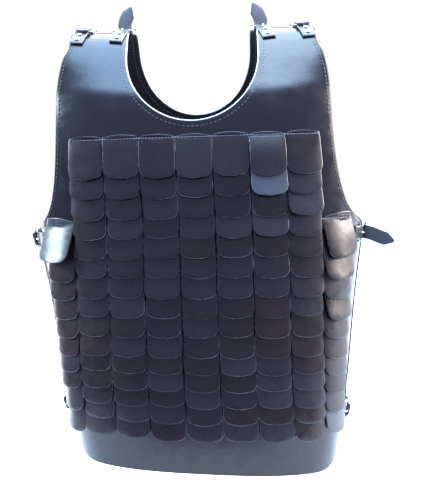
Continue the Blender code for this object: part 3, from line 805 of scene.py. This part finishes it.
def scale_numbers(row, number):
    """The place and the hang of one scale."""
    height = tip_height(row) + SCALE_LENGTH / 2 - side_drop(row, number)
    left = float(column_edge(number - 1, height))
    right = float(column_edge(number, height))
    shift, turn, lift, yaw, belly, tone, crown = chance.uniform(-1.0, 1.0, 7)
    made = {"column": float(number), "middle": (left + right) / 2, "width": (right - left) / PATTERN_WIDTH,
            "shift": shift * SCALE_SHIFT, "turn": turn * SCALE_TURN, "lift": SCALE_LIFT * (0.5 + lift),
            "yaw": yaw * SCALE_YAW, "belly": SCALE_BELLY * belly, "tone": tone * SCALE_TONE,
            "crown": SCALE_CROWN * (0.5 + 0.5 * crown)}
    made.update(ODD_SCALES.get((row, number), {}))
    return made


def hang_row(mesh, row):
    """Bends a flat row over the front plate and hangs each scale in its own way."""
    flat = np.zeros(len(mesh.vertices) * 3, dtype=np.float32)
    mesh.vertices.foreach_get("co", flat)
    x, y, level = flat.reshape(-1, 3).T / MM
    values = {label: read_values(mesh, label)
              for label in ("column", "middle", "width", "lift", "yaw", "belly", "crown")}
    column = np.round(values["column"])
    root = front_form.run_at(tip_height(row) + SCALE_LENGTH)
    drops = np.array([side_drop(row, int(number)) for number in column])
    run = root - drops + y
    height = front_form.height_at(run)
    left = column_edge(column - 1, height)
    right = column_edge(column, height)
    local = (x - values["middle"]) / (values["width"] * PATTERN_WIDTH / 2)
    breadth = (left + right) / 2 + local * (right - left) / 2
    fall = np.maximum(-y, 0.0)
    down = fall / SCALE_LENGTH
    offset = SCALE_SEAT + SCALE_LEAN * fall + level
    offset += np.maximum(values["lift"], LEAST_LIFT) * ((1.0 - SCALE_CURL) * down + SCALE_CURL * down ** 2)
    offset += values["belly"] * np.sin(np.pi * np.clip(down, 0.0, 1.0)) ** 2
    offset += values["yaw"] * local * (right - left) / 2 * down - values["crown"] * local ** 2 * down
    shows = np.where(is_side(column), row == SIDE_ROWS[0], row == 1)
    above = y + SEAM_DROP
    puff = HEADER_PUFF * np.sin(np.pi * np.clip(above / HEADER, 0.0, 1.0) / 2) * (1.0 - local ** 4)
    offset += shows * (puff - SEAM_DIP * np.exp(-(above / SEAM_WIDTH) ** 2))
    placed = front_form.at(breadth, run, offset) * MM
    mesh.vertices.foreach_set("co", placed.astype(np.float32).ravel())
    mesh.update()


def make_scale_row(row, pattern):
    last = COLUMNS // 2 + (1 if SIDE_ROWS[0] <= row <= SIDE_ROWS[1] else 0)
    rows = [scale_numbers(row, number) for number in range(-last, last + 1)]
    piece = grow(f"scale_row_{row:02d}_leather", scatter_mesh(rows), row_of_scales, pattern=pattern,
                 leather=scale_leather)
    hang_row(piece.data, row)
    finish_mesh(piece.data, scale_leather)
    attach(piece, "root")
    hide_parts(f"scale_row_{row:02d}")


shown_pattern = flat_scale("shown_pattern", HEADER - SEAM_DROP, HEADER_ARC,
                           np.array(SEAM_ROWS) - SEAM_DROP)
hidden_pattern = flat_scale("hidden_pattern", HIDDEN_HEADER, 0.0, ())
for row in range(1, ROWS + 1):
    make_scale_row(row, shown_pattern if row in (1, SIDE_ROWS[0]) else hidden_pattern)
bpy.data.objects.remove(shown_pattern, do_unlink=True)
bpy.data.objects.remove(hidden_pattern, do_unlink=True)


# The stitches through the tops of the scales
# A closer stitch of a thicker, paler thread holds down the top row, and the first scale of
# each side column. The rows below are sewn under the ones above, out of sight.

SCALE_STITCH_PITCH = 4.0
SCALE_STITCH_LENGTH = 3.9
SCALE_THREAD_RADIUS = 0.8
HEADER_STEPS = 60


def header_line(row, numbers):
    """The stitch line through the tops of some scales of a row."""
    drop = side_drop(row, numbers[0])
    root = front_form.run_at(tip_height(row) + SCALE_LENGTH) - drop - SEAM_DROP
    height = front_form.height_at(root)
    left = column_edge(numbers[0] - 1, height) + STITCH_PITCH / 2
    right = column_edge(numbers[-1], height) - STITCH_PITCH / 2
    breadth = np.linspace(left, right, HEADER_STEPS)
    lift = SCALE_SEAT + SCALE_LEAN * SEAM_DROP + SCALE_THICKNESS - SEAM_DIP + THREAD_RADIUS / 2
    return front_form.at(breadth, root, lift)


pale_thread = thread_material("pale_thread", (0.27, 0.28, 0.42))
side_column = COLUMNS // 2 + 1
sew("scale_stitches", [header_line(1, range(1 - side_column, side_column)),
                       header_line(SIDE_ROWS[0], [-side_column]), header_line(SIDE_ROWS[0], [side_column])],
    pale_thread, pitch=SCALE_STITCH_PITCH, length=SCALE_STITCH_LENGTH,
    radius=SCALE_THREAD_RADIUS)


# The straps and their tabs
# Four pairs of strap leather, 18 mm wide, close each side: two over the shoulder and two
# round the side. A tab on the front plate folds round a buckle's hinge bar, and a strap from
# the back plate runs under the buckle's roller.

STRAP_THICKNESS = 2.5
STRAP_WIDTH = 18.0
STRAP_SEAT = 0.8
# How far short of the roller the strap starts to rise
STRAP_RISE = 5.5
STRAP_GRID = 4.0
STRAP_EDGE_STEP = 2.2
STRAP_ROUNDING = 0.8
SHOULDER_RAWNESS = 1.0
SIDE_RAWNESS = 0.25
# A painted pale sheen on the tabs of the shoulders, standing in for their reflection of the sky
TAB_PAINTED_SHEEN = -0.35
# Where a tab goes round the hinge bar it is skived thin, over a short slope
SKIVED = 0.8
SKIVED_LENGTH = 14.0
SKIVE_SLOPE = 6.0
# A pointed end's length and the breadth of its blunt tip, as shares of half the strap's width
POINT_LENGTH = 1.3
POINT_TIP = 0.18
STRAP_CORNER = 3.0
STATION_STEP = 6.0
# How far along and out a line is probed to find its directions at a spot
PROBE_ALONG = 4.0
PROBE_OUT = 10.0
WIRE = 3.0
BUCKLE_LENGTH = 24.0
# How far the hinge bar's under side lies off the plate
HINGE_SEAT = 1.3
# Degrees round the hinge bar, from along the frame towards the outside
TAB_BEND = (140.0, -80.0)
BEND_STEPS = 8
# The tab's flat length ends short of the hinge bar by the gap and this much more
TAB_GAP = 3.6
TAB_FLAT_END = 2.5
TAB_FLAT_STEPS = 5
TAB_CLEARANCE = 0.1
# Where the tab starts to turn, short of the hinge bar and below its middle
TAB_TURN = (3.2, 0.2)
# Columns of a tail are along from the hinge bar, out from the leather, aside
INNER_TAIL = ((13.0, 3.2, 0.0), (9.5, 8.0, 0.2), (7.5, 15.0, 2.5), (6.5, 23.0, 6.5), (6.5, 33.0, 11.0))
OUTER_TAIL = ((15.0, 1.9, 0.0), (10.0, 3.2, 0.0), (5.0, 4.7, 0.0), (1.5, 5.3, 0.0),
              (-3.0, 5.5, 0.0), (-8.0, 5.2, 0.0))
SIDE_TAIL_LONG = ((12.5, 3.0, 0.0), (9.0, 8.0, 0.2), (7.5, 16.0, 1.5), (7.0, 27.0, 5.0),
                  (7.0, 45.0, 9.0))
SIDE_TAIL_SHORT = ((12.5, 3.0, 0.0), (9.8, 6.0, 0.2), (9.0, 9.0, 0.6))
SHOULDER_BREADTHS = {"inner": 91.0, "outer": 144.0}
SHOULDER_SLANT = 0.23
SHOULDER_HINGE = -12.0
SHOULDER_TAB = 30.0
SHOULDER_REACH = 62.0
# Columns are height, hinge, length of the tab that shows, far end of the strap
SIDE_BUCKLES = {"upper": (298.0, -46.0, 20.0, 66.0), "lower": (66.0, -36.0, 10.0, 60.0)}

# The edge colour is wear with a painted highlight, and the pale one a painted sheen on the shoulder tabs.
strap_leather = leather_material("strap_leather", dark=(0.018, 0.021, 0.03),
                                 warm=(0.024, 0.023, 0.03), wear_and_highlight_colour=(0.2, 0.21, 0.26),
                                 inside=(0.3, 0.33, 0.4), painted_sheen=(0.3, 0.33, 0.33), roughness=0.36,
                                 mottle=40.0, evenness=0.4)


class SideLine:
    """The level line round one side: the front plate, straight over the gap, the back plate."""

    def __init__(self, height, hand):
        self.height = height
        self.hand = hand
        self.aside = np.array([0.0, 0.0, -1.0])

    def spot(self, along, out):
        edge = SIDE_GAP / 2
        run = front_form.run_at(self.height)
        start = front_form.at(self.hand * (front_form.half_breadth(run) + min(along, -edge)), run, out)
        run = back_form.run_at(self.height)
        end = back_form.at(self.hand * (back_form.half_breadth(run) - max(along, edge)), run, out)
        return start + (end - start) * min(max((along + edge) / SIDE_GAP, 0.0), 1.0)


class CrestLine:
    """The line over one shoulder, which slants outwards down the front plate."""

    def __init__(self, breadth, hand):
        self.breadth = breadth
        self.hand = hand
        self.aside = np.array([-hand, 0.0, 0.0])

    def spot(self, along, out):
        if along <= 0.0:
            breadth = self.hand * (self.breadth - SHOULDER_SLANT * along)
            return front_form.at(breadth, front_form.length + along, out)
        return back_form.at(self.hand * self.breadth, back_form.length - along, out)


def line_axes(line, along):
    """A spot of a line, and the directions across it and out of the leather."""
    here = line.spot(along, 0.0)
    forward = unit(line.spot(along + PROBE_ALONG, 0.0) - line.spot(along - PROBE_ALONG, 0.0))
    out = line.spot(along, PROBE_OUT) - here
    out = unit(out - forward * (out @ forward))
    return here, np.cross(out, forward), out


def strip_path(line, stations):
    """A smooth path with its frames: distance, place, across and up at each point.

    Stations are (along, out, aside) of the strip's under face.
    """
    rows = []
    for along, out, aside in stations:
        across = line_axes(line, along)[1]
        rows.append(np.concatenate([line.spot(along, out) + line.aside * aside, across]))
    path = smooth_rows(rows, steps=8)
    places = path[:, :3]
    forward = unit(np.gradient(places, axis=0))
    across = path[:, 3:] - forward * np.sum(path[:, 3:] * forward, axis=1, keepdims=True)
    across = unit(across)
    up = np.cross(forward, across)
    up *= np.copysign(1.0, up[0] @ line_axes(line, stations[0][0])[2])
    distance = np.concatenate([[0.0], np.cumsum(np.linalg.norm(np.diff(places, axis=0), axis=1))])
    return distance, places, across, up


def strip_outline(length, tip):
    """A strap's flat cut: square at the start, and at the end pointed or with round corners."""
    half = STRAP_WIDTH / 2
    if tip == "pointed":
        point = length - half * POINT_LENGTH
        end = [(half, point), (half * POINT_TIP, length), (-half * POINT_TIP, length), (-half, point)]
    else:
        middle = (half - STRAP_CORNER, length - STRAP_CORNER)
        end = np.vstack([arc(middle, STRAP_CORNER, 0, 90),
                         arc((-middle[0], middle[1]), STRAP_CORNER, 90, 180)])
    return np.vstack([[(-half, 0.0), (half, 0.0)], end])


def make_strip(node, held, stations, tip, tone=0.0, thickness_at=None):
    """A strap cut and bent along its stations; its inside is raw leather by a share, or dyed."""
    distance, places, across, up = strip_path(held.line, stations)
    points, burnish, faces = cut_leather(strip_outline(distance[-1], tip), STRAP_GRID, STRAP_EDGE_STEP,
                                         STRAP_ROUNDING)

    def along(table):
        return np.stack([np.interp(points[:, 1], distance, table[:, axis]) for axis in range(3)], axis=1)

    thick = np.full(len(points), STRAP_THICKNESS)
    if thickness_at is not None:
        thick = thickness_at(points[:, 1], distance[-1])
    shaped = along(places) + unit(along(across)) * points[:, :1]
    shaped += unit(along(up)) * (points[:, 2] * thick)[:, None]
    piece = make_piece(f"{node}_leather", shaped, faces, strap_leather, burnish=burnish,
                       flesh=(points[:, 2] == 0.0) * held.rawness, tone=np.full(len(points), tone))
    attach(piece, "root")
    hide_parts(node)


class Fastening:
    """A tab, its strap and the buckle between them: their line, and where along it they lie."""

    def __init__(self, name, line, hinge, tab, far_end, tail, tip):
        self.name = name
        self.line = line
        self.hinge = hinge
        self.start = hinge - TAB_GAP - tab
        self.far_end = far_end
        self.tail = tail
        self.tip = tip
        self.is_riveted = isinstance(line, CrestLine)
        self.rawness = SHOULDER_RAWNESS if self.is_riveted else SIDE_RAWNESS


def tab_stations(start, hinge):
    """The tab's under face: along the plate, then round the hinge bar and back beneath it."""
    reach = WIRE / 2 + TAB_CLEARANCE
    middle = HINGE_SEAT + WIRE / 2
    flat = np.linspace(start, hinge - TAB_GAP - TAB_FLAT_END, TAB_FLAT_STEPS)
    rows = [(along, STRAP_SEAT, 0.0) for along in flat]
    rows.append((hinge - TAB_TURN[0], middle - TAB_TURN[1], 0.0))
    for turn in np.radians(np.linspace(*TAB_BEND, BEND_STEPS)):
        rows.append((hinge + reach * math.cos(turn), middle + reach * math.sin(turn), 0.0))
    return rows


def tab_thickness(distance, length):
    """Full leather up to the hinge bar, skived thin where it goes round it."""
    turned = np.clip((distance - (length - SKIVED_LENGTH)) / SKIVE_SLOPE, 0.0, 1.0)
    return STRAP_THICKNESS + (SKIVED - STRAP_THICKNESS) * turned


def strap_stations(far_end, hinge, tail):
    """The strap's under face: along the back plate, under the roller, then the tail."""
    roller = hinge + BUCKLE_LENGTH
    steps = max(int((far_end - roller) / STATION_STEP), 2)
    rows = [(along, STRAP_SEAT, 0.0) for along in np.linspace(far_end, roller - STRAP_RISE, steps)]
    return rows + [(hinge + along, out, aside) for along, out, aside in tail]


def make_tab_and_strap(held):
    """The two leathers of one fastening; the tabs on the shoulders get a painted pale sheen."""
    tone = TAB_PAINTED_SHEEN if held.is_riveted else 0.0
    make_strip(f"{held.name}_tab", held, tab_stations(held.start, held.hinge), "square", tone,
               tab_thickness)
    make_strip(f"{held.name}_strap", held, strap_stations(held.far_end, held.hinge, held.tail), held.tip)


fastenings = []
for side, hand in (("left", -1), ("right", 1)):
    for place, breadth in SHOULDER_BREADTHS.items():
        tail, tip = (INNER_TAIL, "pointed") if place == "inner" else (OUTER_TAIL, "square")
        fastenings.append(Fastening(f"{side}_{place}_shoulder", CrestLine(breadth, hand), SHOULDER_HINGE,
                                    SHOULDER_TAB, SHOULDER_REACH, tail, tip))
    for place, (height, hinge, tab, far_end) in SIDE_BUCKLES.items():
        is_long = place == "upper" and side == "right"
        tail, tip = (SIDE_TAIL_LONG, "pointed") if is_long else (SIDE_TAIL_SHORT, "square")
        fastenings.append(Fastening(f"{side}_{place}_side", SideLine(height, hand), hinge, tab, far_end,
                                    tail, tip))
for held in fastenings:
    make_tab_and_strap(held)


# The buckles
# Eight nickelled roller buckles for 18 mm strap: a frame of 3 mm wire with round corners, a
# roller on its far bar, and a wire prong, bent round the hinge bar, that rests on the roller.

WIRE_SIDES = 12
BUCKLE_WIDTH = 29.0
BUCKLE_CORNER = 4.5
ROLLER_CLEARANCE = 1.15
ROLLER_RADIUS = 2.15
# The roller's ends are turned in to this share of its radius
ROLLER_END = 0.75
PRONG_RADIUS = 1.1
PRONG_BEND = (-120.0, -270.0)
# Where the prong's path has points, as shares of the frame's length
PRONG_SHARES = (0.35, 0.65, 0.9, 1.0)
PRONG_DROP = 0.7
PRONG_TAPER = 0.6
BRIGHT_NICKEL = (0.72, 0.72, 0.72)
DULL_NICKEL = (0.5, 0.49, 0.47)


def steel_material():
    """Nickel plate over steel wire: bright, with fine rub marks and duller patches."""
    material, add, where = new_material("nickelled_steel")
    patch = add("ShaderNodeTexNoise", {"Vector": where, "Scale": 220.0, "Detail": 4.0})
    rub = add("ShaderNodeTexNoise", {"Vector": where, "Scale": 1500.0, "Detail": 2.0})
    dull = add("ShaderNodeMapRange", {"Value": patch.outputs["Fac"], "To Min": 0.14, "To Max": 0.4})
    tint = mix_colours(add, patch.outputs["Fac"], BRIGHT_NICKEL, DULL_NICKEL)
    bump = add("ShaderNodeBump", {"Height": rub.outputs["Fac"], "Strength": 0.06, "Distance": 0.0001})
    return dress_shader(material, {"Base Color": tint, "Roughness": dull.outputs[0],
                                   "Normal": bump.outputs["Normal"], "Metallic": 1.0})


steel = steel_material()


def buckle_axes(held):
    """The place of the hinge bar, the axes of the tilted frame and its length."""
    roller_seat = STRAP_SEAT + STRAP_THICKNESS + ROLLER_CLEARANCE
    _, across, out = line_axes(held.line, held.hinge + BUCKLE_LENGTH / 2)
    start = held.line.spot(held.hinge, HINGE_SEAT + WIRE / 2)
    end = held.line.spot(held.hinge + BUCKLE_LENGTH, roller_seat + WIRE / 2)
    length = np.linalg.norm(end - start)
    along = (end - start) / length
    across = unit(across - along * (across @ along))
    up = np.cross(along, across)
    return start, along, across, up * np.copysign(1.0, up @ out), length


def wire_mesh(parts, path, radius, closed, flat_axis):
    """Adds a round wire along a path to a pair of lists, points and faces."""
    points, faces = parts
    path = np.asarray(path)
    if closed:
        forward = unit(np.roll(path, -1, axis=0) - np.roll(path, 1, axis=0))
    else:
        forward = unit(np.gradient(path, axis=0))
    side = unit(np.cross(forward, flat_axis))
    up = np.cross(side, forward)
    turn = np.linspace(0.0, 2 * math.pi, WIRE_SIDES, endpoint=False)
    rings = []
    for here, s, u, r in zip(path, side, up, np.broadcast_to(radius, len(path))):
        rings.append(range(len(points), len(points) + WIRE_SIDES))
        points.extend(here + r * (math.cos(t) * s + math.sin(t) * u) for t in turn)
    for low, high in zip(rings, rings[1:] + rings[:1] if closed else rings[1:]):
        faces.extend(band(low, high))
    if not closed:
        faces.extend([tuple(rings[0]), tuple(rings[-1])])


def dress_metal(piece, *nodes):
    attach(piece, "root")
    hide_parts(*nodes)


def make_buckle(held):
    """A rounded wire frame with a roller on its far bar."""
    start, along, across, up, length = buckle_axes(held)
    half = (BUCKLE_WIDTH - WIRE) / 2
    r = BUCKLE_CORNER
    flat = np.vstack([arc((length - r, half - r), r, 0, 90), arc((r, half - r), r, 90, 180),
                      arc((r, r - half), r, 180, 270), arc((length - r, r - half), r, 270, 360)])
    parts = ([], [])
    wire_mesh(parts, start + flat[:, :1] * along + flat[:, 1:] * across, WIRE / 2, True, up)
    bar = start + along * length
    reach = half - r
    ends = np.array([(-reach, ROLLER_END), (-reach, 1.0), (reach, 1.0), (reach, ROLLER_END)])
    wire_mesh(parts, bar + ends[:, :1] * across, ends[:, 1] * ROLLER_RADIUS, False, up)
    dress_metal(make_piece(f"{held.name}_buckle_wire", *parts, steel), f"{held.name}_buckle")


def make_prong(held):
    """A wire prong bent round the hinge bar, which rests across the roller."""
    start, along, _, up, length = buckle_axes(held)
    loop = WIRE / 2 + PRONG_RADIUS
    path = [start + (along * math.cos(t) + up * math.sin(t)) * loop
            for t in np.radians(np.linspace(*PRONG_BEND, BEND_STEPS))]
    rest = ROLLER_RADIUS + PRONG_RADIUS
    for share in PRONG_SHARES:
        path.append(start + along * length * share + up * (loop + (rest - loop) * share ** 2))
    path.append(start + along * (length + ROLLER_RADIUS) + up * (rest - PRONG_DROP))
    radii = np.full(len(path), PRONG_RADIUS)
    radii[-1] *= PRONG_TAPER
    parts = ([], [])
    wire_mesh(parts, path, radii, False, np.cross(up, along))
    dress_metal(make_piece(f"{held.name}_prong_wire", *parts, steel), f"{held.name}_prong")


for held in fastenings:
    make_buckle(held)
    make_prong(held)


# The rivets
# Each shoulder tab is held to the front plate by two nickelled rivets with low domed caps of
# 7 mm, which stand in a line down the middle of the tab.

RIVET_COUNT = 2
RIVET_RADIUS = 3.4
RIVET_HEIGHT = 1.8
RIVET_SIDES = 20
RIVET_CLEARANCE = 0.05
# Columns are share of the radius, share of the height
RIVET_PROFILE = ((0.9, 0.0), (1.0, 0.22), (0.96, 0.45), (0.72, 0.8), (0.38, 0.97))
RIVET_SPACING = 12.0
FIRST_RIVET = 8.5


def rivet_tree():
    """A domed cap on each point, along the direction that the point gives."""
    tree, start, add = new_tree("rivet_caps", ("Cap", "NodeSocketObject"), ("Metal", "NodeSocketMaterial"))
    cap = add("GeometryNodeObjectInfo", {"Object": start["Cap"]}, transform_space="ORIGINAL")
    out = add("GeometryNodeInputNamedAttribute", {"Name": "out"}, data_type="FLOAT_VECTOR")
    aim = add("FunctionNodeAlignRotationToVector", {"Vector": out.outputs[0]}, axis="Z")
    caps = add("GeometryNodeInstanceOnPoints", {"Points": start["Geometry"],
                                                "Instance": cap.outputs["Geometry"],
                                                "Rotation": aim.outputs[0]})
    close_tree(tree, add, caps.outputs[0], start["Metal"])
    return tree


def rivet_cap():
    """The turned shape of a rivet cap: a low dome with a rolled rim."""
    points = []
    rings = []
    for across, up in RIVET_PROFILE:
        rings.append(range(len(points), len(points) + RIVET_SIDES))
        for turn in (2 * math.pi * k / RIVET_SIDES for k in range(RIVET_SIDES)):
            reach = RIVET_RADIUS * across
            points.append((reach * math.cos(turn), reach * math.sin(turn), RIVET_HEIGHT * up))
    top = len(points)
    points.append((0.0, 0.0, RIVET_HEIGHT))
    faces = [face for low, high in zip(rings, rings[1:]) for face in band(low, high)]
    rim = list(rings[-1])
    faces += [(a, b, top) for a, b in zip(rim, rim[1:] + rim[:1])]
    faces.append(tuple(reversed(rings[0])))
    return make_piece("rivet_cap", points, faces, steel)


rivet_caps = rivet_tree()
cap_pattern = rivet_cap()


def make_rivets(held):
    spots = []
    outs = []
    for number in range(RIVET_COUNT):
        here, _, out = line_axes(held.line, held.start + FIRST_RIVET + number * RIVET_SPACING)
        spots.append(here + out * (STRAP_SEAT + STRAP_THICKNESS + RIVET_CLEARANCE))
        outs.append(out)
    mesh = raw_mesh(held.name, spots)
    mesh.attributes.new("out", "FLOAT_VECTOR", "POINT").data.foreach_set("vector", np.ravel(outs))
    piece = grow(f"{held.name}_rivet_caps", mesh, rivet_caps, cap=cap_pattern, metal=steel)
    piece.data.shade_smooth()
    dress_metal(piece, *[f"{held.name}_rivet_{number + 1}" for number in range(RIVET_COUNT)])


for held in fastenings:
    if held.is_riveted:
        make_rivets(held)
bpy.data.objects.remove(cap_pattern, do_unlink=True)


# The floor, the light and the camera
# A pale seamless floor below the hem, and a bright tent of soft light all round, open and
# darker on the side where the camera stands, as when a thing is photographed from a porch.

# Places here are in metres, angles in degrees
FLOOR_DROP = 0.09
FLOOR_FRONT = -0.45
FLOOR_REACH = 7.0
FLOOR_LEFT = -0.8
CAMERA_PLACE = (0.0569, -1.629, -0.170)
CAMERA_YAW = -1.28
CAMERA_PITCH = 4.17
CAMERA_ROLL = -1.8
CAMERA_LENS = 88.0
PORCH_LIGHT = (0.3, 0.33, 0.5)
BACKDROP = (1.0, 1.0, 1.0)
FLOOR_COLOURS = ((0.54, 0.58, 0.64), (0.58, 0.61, 0.67))
# Regions of the light by direction, each laid over the ones before. Columns are colour, then
# where it starts and is full: by azimuth from the front (right is positive), by elevation
LIT_REGIONS = (
    ((0.5, 0.6, 0.9), (-180.0, -179.0), (0.0, 20.0)),
    ((40.0, 36.0, 34.0), (73.0, 86.0), (4.0, 17.0)),
    ((54.0, 70.0, 74.0), (-76.0, -88.0), (17.0, 25.0)),
    ((0.5, 0.6, 0.9), (-180.0, -179.0), (30.0, 38.0)),
    ((0.3, 0.33, 0.5), (-100.0, -110.0), (-90.0, -89.0)),
    ((8.0, 8.3, 8.8), (119.0, 129.0), (-90.0, -89.0)),
    ((8.0, 8.3, 8.8), (-122.0, -132.0), (-90.0, -89.0)),
    ((0.1, 0.1, 0.14), (134.0, 146.0), (42.0, 26.0)),
    ((0.1, 0.1, 0.14), (-138.0, -150.0), (42.0, 26.0)),
    ((4.8, 7.6, 11.8), (-180.0, -179.0), (59.0, 71.0)),
    ((7.9, 10.6, 13.6), (0.0, 40.0), (60.0, 74.0)),
)


def make_floor():
    material, add, where = new_material("pale_floor")
    speck = add("ShaderNodeTexNoise", {"Vector": where, "Scale": 3.0, "Detail": 2.0})
    tint = mix_colours(add, speck.outputs["Fac"], *FLOOR_COLOURS)
    dress_shader(material, {"Base Color": tint, "Roughness": 0.9})
    low = cad_box[0].z - FLOOR_DROP
    corners = [(FLOOR_LEFT, FLOOR_FRONT, low), (FLOOR_REACH, FLOOR_FRONT, low),
               (FLOOR_REACH, FLOOR_REACH, low), (FLOOR_LEFT, FLOOR_REACH, low)]
    mesh = bpy.data.meshes.new("floor")
    mesh.from_pydata(corners, [], [(0, 1, 2, 3)])
    mesh.materials.append(material)
    add_object("floor", mesh)


def make_light():
    """Light by direction: bright sides and top, darker round the camera's side."""
    world = bpy.data.worlds.new("tent")
    bpy.context.scene.world = world
    world.use_nodes = True
    tree = world.node_tree
    tree.nodes.clear()
    add = node_adder(tree)
    towards = add("ShaderNodeTexCoord").outputs["Generated"]
    parts = add("ShaderNodeSeparateXYZ", {0: towards})
    front = add("ShaderNodeMath", {0: parts.outputs["Y"], 1: -1.0}, operation="MULTIPLY")
    azimuth = add("ShaderNodeMath", {0: parts.outputs["X"], 1: front.outputs[0]}, operation="ARCTAN2")
    elevation = add("ShaderNodeMath", {0: parts.outputs["Z"]}, operation="ARCSINE")
    lit = add("ShaderNodeRGB").outputs[0]
    lit.default_value = (*PORCH_LIGHT, 1.0)
    for colour, across, up in LIT_REGIONS:
        shares = []
        for angle, (start, full) in ((azimuth, across), (elevation, up)):
            share = add("ShaderNodeMapRange", {"Value": angle.outputs[0], "From Min": math.radians(start),
                                               "From Max": math.radians(full)},
                        interpolation_type="SMOOTHSTEP")
            shares.append(share.outputs[0])
        share = add("ShaderNodeMath", {0: shares[0], 1: shares[1]}, operation="MULTIPLY")
        lit = mix_colours(add, share.outputs[0], lit, colour)
    tent = add("ShaderNodeBackground", {"Color": lit})
    backdrop = add("ShaderNodeBackground", {"Color": (*BACKDROP, 1.0)})
    seen = add("ShaderNodeLightPath").outputs["Is Camera Ray"]
    both = add("ShaderNodeMixShader", {0: seen, 1: tent.outputs[0], 2: backdrop.outputs[0]})
    add("ShaderNodeOutputWorld", {"Surface": both.outputs[0]})


def make_camera():
    yaw, pitch, roll = map(math.radians, (CAMERA_YAW, CAMERA_PITCH, CAMERA_ROLL))
    forward = Vector((math.sin(yaw) * math.cos(pitch), math.cos(yaw) * math.cos(pitch), -math.sin(pitch)))
    level = Vector((math.cos(yaw), -math.sin(yaw), 0.0))
    above = level.cross(forward)
    right = math.cos(roll) * level + math.sin(roll) * above
    up = -math.sin(roll) * level + math.cos(roll) * above
    data = bpy.data.cameras.new("camera")
    data.lens = CAMERA_LENS
    camera = add_object("camera", data)
    turned = Matrix((right, up, -forward)).transposed().to_4x4()
    camera.matrix_world = Matrix.Translation(CAMERA_PLACE) @ turned
    bpy.context.scene.camera = camera


make_floor()
make_light()
make_camera()
bpy.context.scene.view_settings.view_transform = "Standard"
